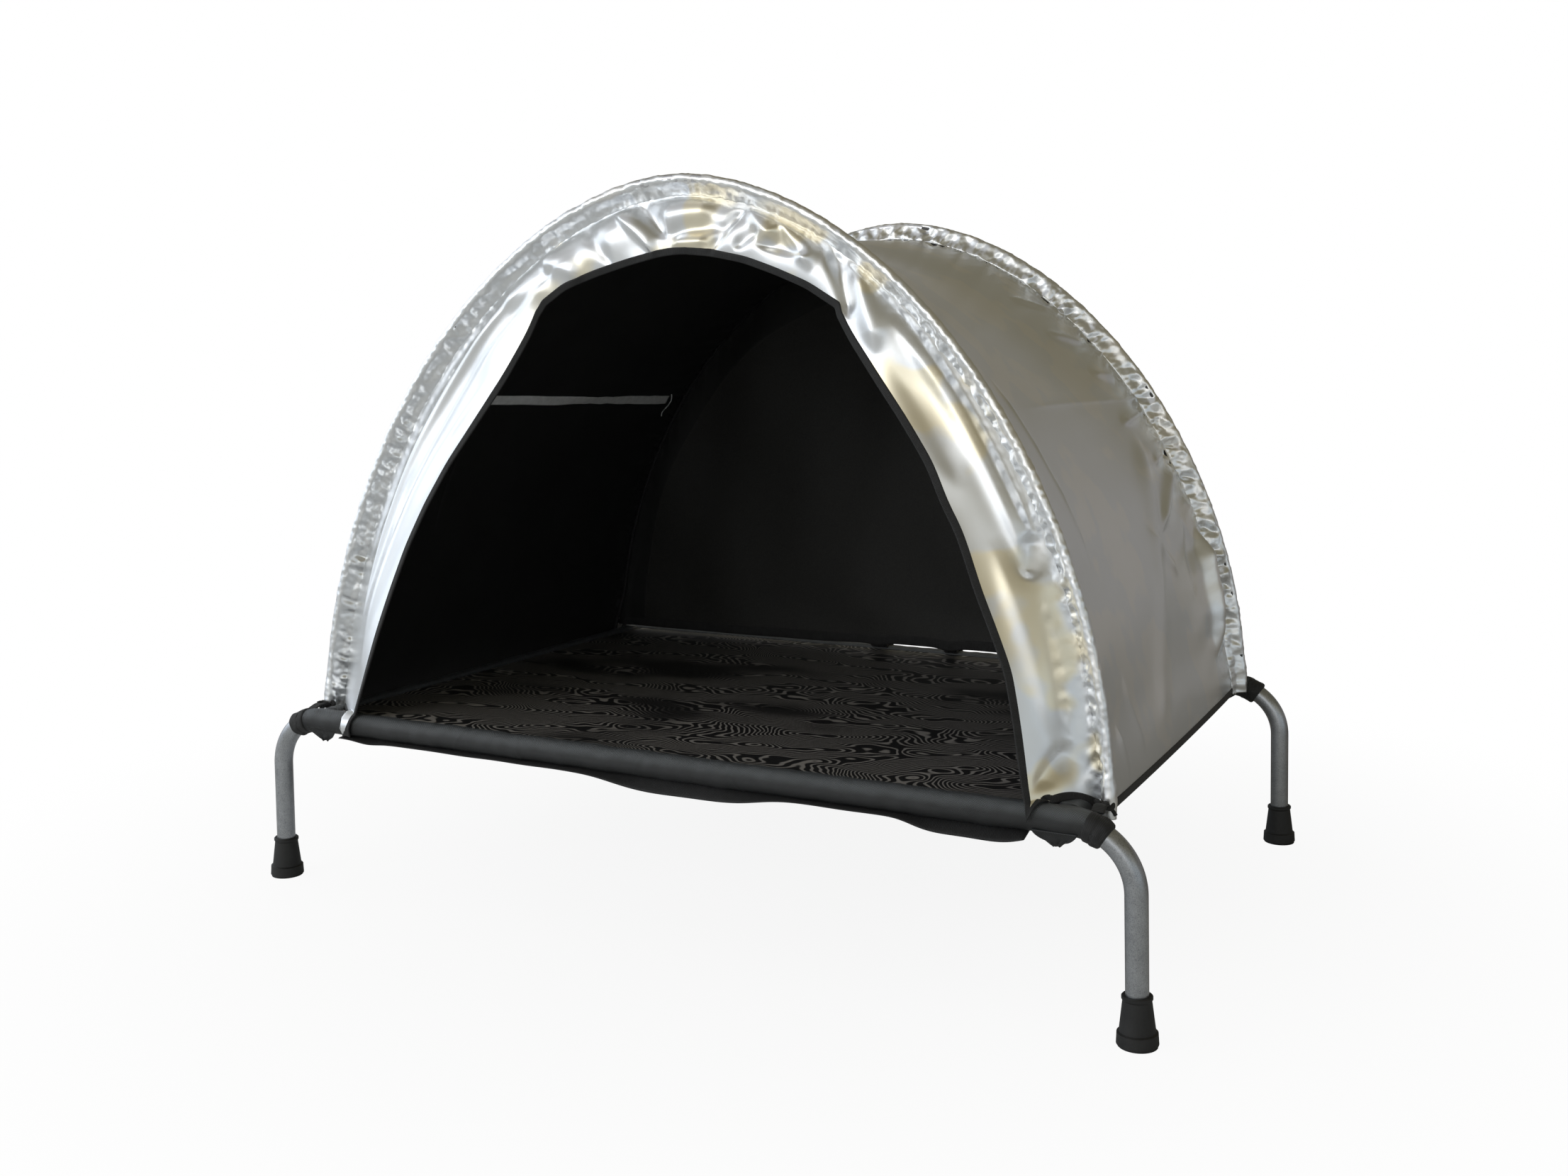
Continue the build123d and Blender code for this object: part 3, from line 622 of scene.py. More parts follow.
def plastic(name, color, roughness):
    """Moulded or pultruded plastic with a faint grain."""
    s = Shader(name, color, roughness)
    grain = s.noise(400, detail=4)
    s.color(s.ramp(grain, 0.3, 0.7, tuple(0.8 * c for c in color), tuple(1.3 * c for c in color)))
    s.rough(grain, roughness - 0.08, roughness + 0.1)
    s.bump(grain, 0.04 * MM)
    return s.material


SILVER = silver_cloth()
# The front panel's cloth has a stronger cream painted reflection in its patches.
PANEL_SILVER = silver_cloth("panel_silver_cloth", (0.86, 0.8, 0.64))
LINING = lining_cloth()
BACK_LINING = back_lining_cloth()
SLING = sling_mesh()
SLEEVE_MESH = sleeve_mesh()
TAPE = black_tape()
GREY_TAPE = grey_tape()
CAD_FINISH = {
    "tube_paint": tube_paint(),
    "foot_rubber": foot_rubber(),
    "button_steel": metal("button_steel", (0.55, 0.55, 0.56), 0.3, 1.0),
    "spring_steel": metal("spring_steel", (0.42, 0.42, 0.43), 0.35, 0.2),
    "rod_fibreglass": plastic("rod_fibreglass", (0.05, 0.05, 0.05), 0.42),
    "ferrule_alloy": metal("ferrule_alloy", (0.6, 0.6, 0.62), 0.32, 0.1),
    "tip_plastic": plastic("tip_plastic", (0.02, 0.02, 0.02), 0.5),
}


def finish_cad_nodes():
    """Give every CAD node that stays in view the finish of its slot."""
    slots = {part["node"]: part["material_slot"] for part in frame["record"]["subparts"]}
    for name, obj in frame["nodes"].items():
        finish = CAD_FINISH.get(slots[name])
        if finish is None:
            continue
        for place in obj.material_slots:
            place.material = finish


# ---- Hoop sleeves ----

# Creases of each sleeve's band: height and length; and how far its edge ruffles past the seam. Millimetres.
CRUSHED = {"front": 0.85, "rear": 1.1}
CREASE = {"front": 12, "rear": 17}
FRILL = {"front": 1.0, "rear": 0.0}
CALM_TOP = {"front": 0.6, "rear": 0.0}  # share of the creases that is gone over a hoop's top


def sleeve_columns():
    """Places round a sleeve's section: share of the way from rod to seam, and turn round the rod."""
    fin = np.linspace(1, 0, 17)[:-1]
    turn = np.linspace(-math.pi / 2, math.pi / 2, 15)
    share = np.concatenate([fin, np.zeros(len(turn)), fin[::-1]])
    angle = np.concatenate([np.full(len(fin), -math.pi / 2), turn, np.full(len(fin), math.pi / 2)])
    return share[None, :], angle[None, :]


def hoop_sleeve(name, hoop, rng):
    """Cloth sleeve round a hoop's rod: round at its outer edge, a crushed double band down to the seam."""
    arch = ARCH[hoop]
    rows = int(arch.length / (1.5 * MM))
    s = np.linspace(0, 1, rows)[:, None]
    share, angle = sleeve_columns()
    walked = s * arch.length
    down = share * BAND
    pinch = smoothstep(share, 0, 0.55)
    tip = 1 - smoothstep(arch.from_foot(s), 26 * MM, 50 * MM)
    rod_r = ROD_CLOTH_R + (TIP_CLOTH_R - ROD_CLOTH_R) * tip
    half = rod_r * (1 - pinch) + 1.5 * MM * pinch * (1 - 0.4 * smoothstep(share, 0.85, 1))
    free = np.sin(share * math.pi).clip(0) ** 0.5
    amount = 0.9 + 0.25 * waves(walked, 0 * share, 210 * MM, 6, rng)
    stitch_turns = 2 * math.pi * walked / (7.5 * MM) + 2 * waves(walked, 0 * share, 60 * MM, 6, rng)
    rope = 0.4 * MM * np.sin(stitch_turns) * smoothstep(share, 0.55, 0.9)
    crushed, crease = CRUSHED[hoop], CREASE[hoop] * MM
    common = free * amount * 1.7 * MM * crumple(walked, down, 1.6 * crease, 5, rng, (5, 50))
    sides = []
    for _ in range(2):
        layer = crumple(walked, down, crease, 4, rng, (5, 45)) * crushed * MM
        sides.append(layer + crumple(walked, down, 0.5 * crease, 4, rng) * 0.1 * crushed * MM)
    layer = np.where(angle > 0, sides[0] + rope, -sides[1] - rope) * (0.25 + 0.75 * free) * amount
    calm = 1 - CALM_TOP[hoop] * smoothstep(arch.from_foot(s), 450 * MM, 640 * MM)
    common, layer = calm * common, calm * layer
    ripples = 0.22 * MM * crumple(walked, angle * ROD_CLOTH_R, 8 * MM, 6, rng)
    wobble = 0.4 * MM * waves(walked, 0 * share, 30 * MM, 8, rng)
    band_way, across = arch.band(s)
    outer = np.cos(angle) * (rod_r + np.maximum(ripples + wobble, -0.8 * MM))
    front = np.where(share > 0, np.sign(angle) * half + common + layer, np.sin(angle) * (rod_r + ripples))
    ruffle = 1 + crumple(walked, 0 * share, 13 * MM, 5, rng)
    frill = FRILL[hoop] * MM * ruffle * smoothstep(share, 0.85, 1)
    reach = down - outer * (share == 0) + frill
    grid = arch.at(s) + band_way * reach[..., None] + across * front[..., None]
    return tube(name, grid, SILVER)


FRONT_SLEEVE = hoop_sleeve("front_hoop_sleeve_cloth", "front", default_rng(11))
REAR_SLEEVE = hoop_sleeve("rear_hoop_sleeve_cloth", "rear", default_rng(12))


# ---- Canopy ----

# Folds of the right wall, where the rear sleeve tugs it: ends as (share round the hoop, share from the
# front hoop to the rear), then height and width in millimetres, and how steep one side is.
WALL_FOLDS = [
    ((0.868, 0.935), (0.960, 0.905), 17.0, 15, 1.1),
    ((0.860, 0.880), (0.915, 0.84), -4.0, 13, 0.8),
    ((0.818, 0.950), (0.858, 0.72), 6.0, 14, 0.6),
    ((0.805, 0.960), (0.812, 0.84), 4.0, 10, 0.7),
    ((0.856, 0.620), (0.892, 0.73), 2.2, 12, 0.6),
    ((0.792, 0.820), (0.905, 0.56), 3.0, 26, 0.6),
    ((0.892, 0.620), (0.975, 0.38), 2.5, 26, 0.8),
    ((0.960, 0.110), (0.992, 0.13), 3.0, 9, 0.7),
    ((0.935, 0.200), (0.985, 0.24), 2.0, 12, 0.7),
    ((0.770, 0.960), (0.776, 0.80), 4.0, 10, 0.7),
    ((0.735, 0.960), (0.730, 0.84), 4.5, 12, 0.7),
    ((0.700, 0.960), (0.688, 0.80), 4.0, 13, 0.6),
    ((0.660, 0.960), (0.645, 0.82), 3.5, 12, 0.6),
]

# Heights of the canopy: the roof's dip, the walls' bow, creases and tugs at both seams, bags, and slack.
ROOF_DIP = 22 * MM
WALL_BOW = 2.5 * MM
REAR_PUCKERS, FRONT_PUCKERS = 2.1 * MM, 0.9 * MM
REAR_TUGS, FRONT_TUGS = 2.0 * MM, 1.3 * MM
BAGS = 5.0 * MM
DRAPE = 1.6 * MM
ROOF_SLACK = 3.5 * MM


def canopy_grid():
    """The roof and both side walls: one sheet from hoop to hoop, dipping like a saddle between them."""
    front, rear = ARCH["front"], ARCH["rear"]
    rng = default_rng(21)
    rows, columns = ((760, 280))
    s = np.linspace(0, 1, rows)[:, None]
    t = np.linspace(0, 1, columns)[None, :]
    grid = front.seam(s, -0.4 * MM) * (1 - t[..., None]) + rear.seam(s, 0.3 * MM) * t[..., None]
    normal = grid_normals(grid)
    depth = REAR_Y - FRONT_Y - 2 * BAND * math.sin(math.radians(BAND_TURN))
    up = smoothstep(front.from_foot(s), 0, 700 * MM)
    bow = (4 * t * (1 - t)) ** 0.8
    dip = bow * (WALL_BOW * (1 - up) - ROOF_DIP * up ** 1.5)

    along, across = s * front.length, t * depth
    to_front, to_rear = across, depth - across
    near_rear, near_front = np.exp(-to_rear / (15 * MM)), np.exp(-to_front / (12 * MM))
    loose = crumple(along, across, 13 * MM, 4, rng, (0, 40)) * near_rear * REAR_PUCKERS
    loose = loose + crumple(along, across, 14 * MM, 4, rng, (0, 40)) * near_front * FRONT_PUCKERS
    rear_reach, front_reach = np.exp(-to_rear / (42 * MM)), np.exp(-to_front / (30 * MM))
    loose = loose + waves(along, 0.25 * across, 34 * MM, 14, rng) * rear_reach * REAR_TUGS
    loose = loose + waves(along, 0.25 * across, 40 * MM, 14, rng) * front_reach * FRONT_TUGS
    low = sum(np.exp(-((s - middle) / 0.085) ** 2) for middle in (0.13, 0.87))
    bags = waves(along + 0.5 * across, 0.35 * across, 84 * MM, 10, rng)
    loose = loose + bags * low * np.exp(-((to_rear - 45 * MM) / (85 * MM)) ** 2) * BAGS
    slack = waves(along, 0.45 * across, 210 * MM, 10, rng) * DRAPE
    slack = slack + waves(along - 0.7 * across, across, 420 * MM, 6, rng) * ROOF_SLACK
    edges = smoothstep(to_front, 0, 30 * MM) * smoothstep(to_rear, 0, 25 * MM)
    sewn = smoothstep(to_front, *SEWN) * smoothstep(to_rear, *SEWN)
    hem = smoothstep(front.from_foot(s), 0, 60 * MM)
    for start, end, height, width, sharp in WALL_FOLDS:
        ends = [(share * front.length, t_at * depth) for share, t_at in (start, end)]
        loose = loose + height * MM * fold(along, across, *ends, width * MM, sharp)
    return grid + normal * (dip + hem * (sewn * loose + edges * slack))[..., None]


def packing_creases(grid):
    """Faint straight creases left by folding the cover into its bag."""
    normal = grid_normals(grid)
    z, y = grid[..., 2], grid[..., 1]
    level = np.exp(-np.abs(z - 580 * MM) / (3.5 * MM)) * smoothstep(y, -150 * MM, 0)
    upright = np.exp(-np.abs(y + 166 * MM) / (3.5 * MM)) * smoothstep(z, 400 * MM, 450 * MM)
    upright = upright * (1 - smoothstep(z, 580 * MM, 620 * MM))
    return grid + normal * ((level + upright) * 1.6 * MM)[..., None]


CANOPY_GRID = packing_creases(canopy_grid())
CANOPY = sheet("canopy_cloth", CANOPY_GRID, CLOTH, SILVER, LINING)


# ---- Front panel and its doorway ----

# Edge of the doorway in the front view: three curves through these (x, z) in millimetres.
DOOR_LEFT = [(-411, 193), (-391, 266), (-376, 317), (-359, 368), (-340, 419), (-316, 468), (-287, 516),
             (-250, 565), (-214, 613), (-183, 663), (-174, 684)]
DOOR_TOP = [(-165, 696), (-138, 713), (-96, 726), (-55, 736), (-15, 744), (11, 746), (49, 742), (87, 734),
            (124, 721), (161, 706), (184, 692), (196, 685)]
DOOR_RIGHT = [(199, 676), (212, 655), (244, 613), (278, 570), (307, 530), (327, 490), (340, 471), (349, 452),
              (366, 412), (385, 374), (402, 338), (414, 291), (422, 254), (430, 220), (435, 205)]
DOOR_FLAT_Z = 690 * MM
DOOR_FOOT_Y = -357 * MM
DOOR_FOOT_Z = 200 * MM
FOOT_LIFT = 17 * MM  # rise of the panel's bottom edge between its ends


def door_outline(count):
    """Edge of the doorway from its left foot over the top to its right foot."""
    sides = [smooth_curve(np.array(part) * MM, 160, 16) for part in (DOOR_LEFT, DOOR_TOP, DOOR_RIGHT)]
    flat = smooth_curve(np.concatenate(sides), count, 3)
    lean = ARCH["front"].lean
    hoop_y = FRONT_Y + (np.maximum(flat[:, 1], DOOR_FLAT_Z) - HINGE_Z) * math.tan(lean)
    down = np.clip((DOOR_FLAT_Z - flat[:, 1]) / (DOOR_FLAT_Z - DOOR_FOOT_Z), 0, 1)
    y = hoop_y + (DOOR_FOOT_Y - hoop_y) * down
    return np.stack([flat[:, 0], y, flat[:, 1]], -1)


def matched_arch(outline):
    """Share of the front hoop's length nearest to each point of the doorway's edge."""
    arch = ARCH["front"]
    s = np.linspace(0, 1, 2001)
    seam = arch.seam(s)[:, [0, 2]]
    distance = np.linalg.norm(outline[:, None, [0, 2]] - seam[None], axis=-1)
    nearest = np.maximum.accumulate(s[distance.argmin(1)])
    nearest = (nearest - nearest[0]) / (nearest[-1] - nearest[0])
    for _ in range(400):
        nearest[1:-1] += 0.25 * (nearest[:-2] + nearest[2:] - 2 * nearest[1:-1])
    return nearest


def over_the_rail(grid, radius):
    """Lift the cloth's two feet over the front rail, and push it out of the rail."""
    rows, columns = grid.shape[:2]
    from_foot = ARCH["front"].from_foot(np.linspace(0, 1, rows))[:, None]
    v = np.linspace(0, 1, columns)[None, :]
    grid = grid.copy()
    grid[..., 2] += FOOT_LIFT * np.sin(math.pi * v) ** 0.8 * (1 - smoothstep(from_foot, 0, 90 * MM))
    y, z = grid[..., 1] + RAIL_Y, grid[..., 2] - RAIL_Z
    reach = np.hypot(y, z)
    push = np.maximum(radius, reach) / np.maximum(reach, 1e-6)
    grid[..., 1] = y * push - RAIL_Y
    grid[..., 2] = RAIL_Z + z * push
    return grid


# Large folds of the panel: both ends as (share round the hoop, share from hoop to doorway),
# then height and width in millimetres, and how steep one side is. A negative height is a valley.
PANEL_FOLDS = [
    # left shoulder
    ((0.385, 0.10), (0.415, 0.95), 6.0, 15, 0.5),
    ((0.425, 0.05), (0.445, 0.90), -4.0, 9, 0.8),
    ((0.452, 0.06), (0.486, 0.95), 6.5, 12, 0.35),
    ((0.345, 0.15), (0.385, 0.80), 3.5, 18, 0.7),
    # crown
    ((0.468, 0.02), (0.496, 0.70), -7.5, 9, 0.8),
    ((0.490, 0.42), (0.532, 0.24), 5.5, 16, 0.8),
    ((0.497, 0.70), (0.545, 0.50), -4.0, 9, 0.8),
    ((0.505, 0.85), (0.535, 0.80), 4.5, 8, 0.6),
    ((0.540, 0.95), (0.553, 0.15), -6.5, 8, 0.7),
    # right shoulder
    ((0.556, 0.05), (0.585, 0.45), 8.0, 15, 0.5),
    ((0.560, 0.80), (0.572, 0.40), -4.5, 8, 0.7),
    ((0.575, 0.62), (0.612, 0.42), -5.0, 9, 0.6),
    ((0.580, 0.05), (0.618, 0.62), 7.0, 12, 0.5),
    ((0.618, 0.02), (0.662, 0.80), -8.0, 9, 0.7),
    ((0.640, 0.05), (0.690, 0.72), 6.5, 14, 0.6),
    # right side: one long fold that ends in a pocket, and soft folds below it
    ((0.700, 0.08), (0.835, 0.14), -3.5, 7, 0.8),
    ((0.690, 0.30), (0.850, 0.34), 5.0, 20, 0.4),
    ((0.836, 0.16), (0.860, 0.38), -5.0, 11, 0.7),
    ((0.705, 0.66), (0.790, 0.70), -2.5, 14, 0.8),
    ((0.868, 0.22), (0.960, 0.26), -3.0, 12, 0.8),
    ((0.842, 0.62), (0.955, 0.52), 5.0, 22, 0.5),
    ((0.960, 0.30), (0.985, 0.85), -4.0, 16, 0.6),
    # left side
    ((0.130, 0.20), (0.350, 0.14), -4.0, 8, 0.8),
    ((0.090, 0.42), (0.360, 0.34), 4.5, 10, 0.5),
    ((0.160, 0.62), (0.400, 0.55), -3.0, 8, 0.7),
    ((0.060, 0.70), (0.300, 0.78), 3.0, 12, 0.6),
]

# Heights of the panel's pillows, of the small creases at its binding and at its seam, and of its slack.
PUFF = {"top": 8 * MM, "right": 1.5 * MM, "left": 3 * MM}
GATHERS = 0.2 * MM
PLEATS = 0.4 * MM
TWIST = 1.4 * MM
SLACK = 1.6 * MM


def front_panel_grid():
    """Cloth between the front hoop and the doorway: pillowed at the top, smooth down the left side."""
    arch = ARCH["front"]
    rng = default_rng(31)
    rows, columns = ((900, 64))
    outline = door_outline(1600)
    share = matched_arch(outline)
    s = np.linspace(0, 1, rows)
    inner = np.stack([np.interp(s, share, outline[:, i]) for i in range(3)], -1)
    outer = arch.seam(s, 0.4 * MM)
    v = np.linspace(0, 1, columns)
    grid = outer[:, None] * (1 - v[None, :, None]) + inner[:, None] * v[None, :, None]
    normal = -grid_normals(grid)
    s, v = s[:, None], v[None, :]
    width = np.linalg.norm(inner - outer, axis=1)[:, None]
    x = grid[..., 0]
    along = s * arch.length
    across = v * width

    top = smoothstep(arch.from_foot(s), 420 * MM, 640 * MM)
    right = smoothstep(s, 0.60, 0.68) * (1 - smoothstep(s, 0.95, 1.0))
    left = smoothstep(s, 0.02, 0.1) * (1 - smoothstep(s, 0.30, 0.4))
    arc = np.sin(math.pi * v) ** 0.8
    puff = arc * (PUFF["top"] * top + PUFF["right"] * right + PUFF["left"] * left)

    folds = 0
    for start, end, height, fold_width, sharp in PANEL_FOLDS:
        ends = [(at * arch.length, v_at * np.interp(at, s[:, 0], width[:, 0])) for at, v_at in (start, end)]
        folds = folds + height * MM * fold(along, across, *ends, 1.25 * fold_width * MM, sharp)
    sewn = smoothstep(across, *SEWN)
    held = sewn * (1 - 0.75 * smoothstep(v, 0.93, 1))
    at_binding = np.exp(-(width - across) / (12 * MM)) * np.exp(-((x + 20 * MM) / (62 * MM)) ** 4)
    gathers = crumple(along, across, 17 * MM, 4, rng, (0, 22)) * at_binding * GATHERS
    pleats = crumple(along, across, 17 * MM, 5, rng, (0, 40)) * np.exp(-across / (9 * MM)) * PLEATS
    twist = waves(along, 0.8 * across + 0.3 * along, 95 * MM, 10, rng) * arc * TWIST
    soft = waves(0.4 * along, across, 120 * MM, 8, rng) * arc * SLACK
    ends = smoothstep(arch.from_foot(s), 0, 50 * MM)
    height = sewn * puff + held * folds + top * (sewn * twist + gathers) + ends * sewn * (pleats + soft)
    return grid + normal * height[..., None]


PANEL_GRID = over_the_rail(front_panel_grid(), SLEEVE_R + 3 * MM)
FRONT_PANEL = sheet("front_panel_cloth", PANEL_GRID[::-1], CLOTH, PANEL_SILVER, LINING)


OVERHANG = 0.8 * MM  # how far a binding stands out past the cloth's edge


def edge_tape(name, edge, inward, normal, width, thickness, material):
    """Tape folded over the edge of a sheet: it reaches a width in from the edge, on both faces."""
    section = np.array(tape_section(width, thickness))[None]
    rings = edge[:, None] + inward[:, None] * (section[..., :1] + width / 2 - OVERHANG)
    return tube(name, rings + normal[:, None] * section[..., 1:], material)


def grid_edge(grid, edge, depth):
    """Edge line of a grid, the directions into the sheet, and the normals along it."""
    normal = grid_normals(grid)
    lines = {
        "last_column": (grid[:, -1], grid[:, -1 - depth], normal[:, -1]),
        "first_row": (grid[0], grid[depth], normal[0]),
        "last_row": (grid[-1], grid[-1 - depth], normal[-1]),
        "first_column": (grid[:, 0], grid[:, depth], normal[:, 0]),
    }
    line, inner, normals = lines[edge]
    inward = inner - line
    return line, inward / np.linalg.norm(inward, axis=1, keepdims=True), normals


BINDING_WIDTH = 8.0 * MM
BINDING_THICKNESS = 2.6 * MM
OPENING_BINDING = edge_tape(
    "doorway_binding_tape", *grid_edge(PANEL_GRID, "last_column", 4), BINDING_WIDTH, BINDING_THICKNESS, TAPE
)
PANEL_FOOT_TAPES = [
    edge_tape(name, *grid_edge(PANEL_GRID, edge, 4), BINDING_WIDTH, BINDING_THICKNESS, TAPE)
    for name, edge in (("left_panel_foot_tape", "first_row"), ("right_panel_foot_tape", "last_row"))
]


# ---- Back wall ----

BACK_HEM_Z = 220.5 * MM
BACK_HEM_LIFT = 5 * MM  # rise of the hem between the rear ties
TIE_X = [sum(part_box(node)[k].x for k in (0, 1)) / 2 for node in ("rear_tie_left", "rear_tie_right")]


def back_wall_grid():
    """Sheet that closes the rear hoop, hanging in soft upright folds."""
    arch = ARCH["rear"]
    rng = default_rng(41)
    rows, columns = ((420, 160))
    shares = np.linspace(0, 1, 4001)
    high = shares[arch.seam(shares)[:, 2] > BACK_HEM_Z + 4 * MM]
    s = np.linspace(high[0], high[-1], rows)
    top = arch.seam(s, -0.3 * MM)
    foot = top.copy()
    foot[:, 2] = BACK_HEM_Z
    foot[:, 1] = REAR_Y - 2 * MM
    v = np.linspace(0, 1, columns)[None, :, None]
    grid = top[:, None] * (1 - v) + foot[:, None] * v
    x, z = grid[..., 0], grid[..., 2]
    drop = top[:, 2:] - z
    height = top[:, 2:] - BACK_HEM_Z
    away = np.minimum(drop, z - BACK_HEM_Z) / (60 * MM)
    free = smoothstep(away, 0, 1)
    puckers = waves(s[:, None] * arch.length, 0 * x, 24 * MM, 14, rng) * np.exp(-drop / (14 * MM)) * 1.3 * MM
    folds = waves(x, 0.25 * z, 150 * MM, 8, rng) * 3.0 * MM + waves(x, z, 320 * MM, 6, rng) * 4 * MM
    hem = waves(x, 0 * z, 90 * MM, 8, rng) * np.exp(-(z - BACK_HEM_Z) / (40 * MM)) * 2.0 * MM
    lift = smoothstep(x, -160 * MM, 20 * MM) * (1 - smoothstep(x, 430 * MM, 470 * MM))
    ties = sum(np.exp(-((x - tie) / (16 * MM)) ** 2) for tie in TIE_X)
    lift = lift * (1 - 0.8 * ties) * np.exp(-(z - BACK_HEM_Z) / (70 * MM))
    grid[..., 2] += lift * BACK_HEM_LIFT
    edge = smoothstep(height / (90 * MM), 0, 1)
    grid[..., 1] += edge * (puckers * smoothstep(drop, *SEWN) + folds * free + hem)
    return grid


BACK_GRID = back_wall_grid()
BACK_WALL = sheet("back_wall_cloth", BACK_GRID, CLOTH, SILVER, BACK_LINING)
BACK_HEM = edge_tape(
    "back_wall_hem_tape", *grid_edge(BACK_GRID, "last_column", 2), 14 * MM, BINDING_THICKNESS, TAPE
)


def rear_seam_binding():
    """Narrow binding over the raw edge of the rear seam, inside the tent."""
    arch = ARCH["rear"]
    s = np.linspace(0.004, 0.996, 500)
    along, _ = arch.band(s)
    return cord("rear_seam_binding_tape", arch.at(s) + along * (BAND + 3.2 * MM), 2.3 * MM, TAPE, (0, 1, 0))


REAR_SEAM_BINDING = rear_seam_binding()


# ---- Bed sling and its rail sleeves ----

def rail_path(y, start, end, step=2 * MM):
    """Middle line of a front or rear rail between two lengths from its middle, down into the leg bends."""
    walked = np.arange(start, end + step / 2, step)
    past = np.maximum(np.abs(walked) - BEND_START_X, 0) / BEND_R
    x = np.minimum(np.abs(walked), BEND_START_X) + BEND_R * np.sin(past)
    z = RAIL_Z - BEND_R * (1 - np.cos(past))
    return np.stack([np.sign(walked) * x, np.full(len(walked), y), z], -1)


def rail_sleeve(name, path, inward, rng, wraps):
    """Mesh cloth round a rail: a teardrop section that closes towards the bed, with slack wrinkles."""
    around = np.linspace(0, 2 * math.pi, 49)[None, :-1]
    walked = np.concatenate([[0], np.cumsum(np.linalg.norm(np.diff(path, axis=0), axis=1))])[:, None]
    radius = SLEEVE_R + 0.35 * MM * waves(walked, around * SLEEVE_R, 60 * MM, 10, rng)
    radius = radius + 0.22 * MM * waves(walked, around * SLEEVE_R, 22 * MM, 10, rng)
    for place, slant in wraps:
        distance = np.abs(walked - walked[-1] / 2 - place * MM - slant * SLEEVE_R * np.sin(around))
        radius = radius + 1.2 * MM * np.exp(-distance / (2.5 * MM)) - 0.9 * MM * np.exp(-distance / (7 * MM))
    tail = 1.6 * MM * smoothstep(np.cos(around - math.radians(50)), 0.9, 1.0)
    return round_skin(name, path, radius + tail, SLEEVE_MESH, inward)


SLEEVE_HALF = BEND_START_X + 20 * MM
SIDE_REACH = RAIL_Y - SLEEVE_R

# Creases that run round the sleeves: millimetres from the rail's middle, and slant.
FRONT_WRAPS = (-248, 0.5), (-161, -0.3), (-2, 0.4), (116, -0.6)
REAR_WRAPS = (-205, -0.4), (60, 0.6), (190, 0.3)
LEFT_WRAPS = ((-120, 0.4),)
RIGHT_WRAPS = ((120, -0.4),)


def side_path(side):
    """Middle line of a side rail between the front and rear sleeves."""
    y = np.arange(-SIDE_REACH, SIDE_REACH + MM, 2 * MM)
    return np.stack([np.full(len(y), side * SIDE_X), y, np.full(len(y), RAIL_Z)], -1)


RAIL_SLEEVES = [
    rail_sleeve(f"{name}_rail_sleeve", path, inward, default_rng(seed), wraps)
    for name, path, inward, seed, wraps in (
        ("front", rail_path(-RAIL_Y, -SLEEVE_HALF, SLEEVE_HALF), (0, 1, 0), 51, FRONT_WRAPS),
        ("rear", rail_path(RAIL_Y, -SLEEVE_HALF, SLEEVE_HALF), (0, -1, 0), 52, REAR_WRAPS),
        ("left", side_path(-1), (1, 0, 0), 53, LEFT_WRAPS),
        ("right", side_path(1), (-1, 0, 0), 54, RIGHT_WRAPS),
    )
]


def sling_grid():
    """Bed of the sling: tight at the rails, with a shallow dish and slight ripples."""
    rng = default_rng(55)
    x = np.linspace(-SIDE_X, SIDE_X, 200)[:, None]
    y = np.linspace(-RAIL_Y, RAIL_Y, 150)[None, :]
    inside = (1 - (x / SIDE_X) ** 6) * (1 - (y / RAIL_Y) ** 6)
    dish = -5.0 * MM * (1 - (x / SIDE_X) ** 2) * (1 - (y / RAIL_Y) ** 2)
    ripples = waves(x, y, 260 * MM, 8, rng) * 0.8 * MM + waves(x, 0.3 * y, 90 * MM, 8, rng) * 0.25 * MM
    z = BED_TOP - 4.0 * MM + dish + inside * ripples
    return np.stack(np.broadcast_arrays(x, y, z), -1)


BED = sheet("sling_cloth", sling_grid(), 1.0 * MM, SLING)


def corner_rng(seed, y, side):
    """Random numbers of one corner."""
    return default_rng(seed + int(side) + int(10 * np.sign(y)))


def bound_end(name, y, side):
    """Tape bound round the open end of a rail sleeve."""
    path = rail_path(y, SLEEVE_HALF - 5 * MM, SLEEVE_HALF + 5 * MM, 1 * MM) * (side, 1, 1)
    around = np.linspace(0, 2 * math.pi, 41)[None, :-1] * SLEEVE_R
    slack = waves(around, np.zeros((len(path), 1)), 14 * MM, 6, corner_rng(60, y, side))
    edge = np.abs(np.linspace(-1, 1, len(path)))[:, None] ** 6
    return round_skin(name, path, SLEEVE_R + (1.3 + 0.5 * slack - 1.1 * edge) * MM, TAPE)


def corner_flap(name, y, side):
    """Loose corner of the sling cloth: a soft folded point that hangs under the end of the rail."""
    u = np.linspace(-1, 1, 33)[:, None]
    v = np.linspace(0, 1, 21)[None, :]
    x = side * (SIDE_X - 6 * MM + 22 * MM * u * (1 - 0.85 * v ** 1.6))
    z = RAIL_Z - SLEEVE_R * 0.6 - 15 * MM * v
    slack = 1.2 * MM * waves(24 * MM * u, 23 * MM * v, 18 * MM, 8, corner_rng(70, y, side)) * v
    forward = SLEEVE_R * (0.72 - 0.45 * v) + slack
    grid = np.stack(np.broadcast_arrays(x, y + np.sign(y) * forward, z), -1)
    return sheet(name, grid, 2.2 * MM, SLEEVE_MESH)


CORNERS = [(f"{end}_{side}", sy * RAIL_Y, sx) for end, sy in (("front", -1), ("rear", 1))
           for side, sx in (("left", -1), ("right", 1))]
BOUND_ENDS = [bound_end(f"{name}_sleeve_end_tape", y, side) for name, y, side in CORNERS]
CORNER_FLAPS = [corner_flap(f"{name}_corner_flap", y, side) for name, y, side in CORNERS]


# ---- Corner loops ----

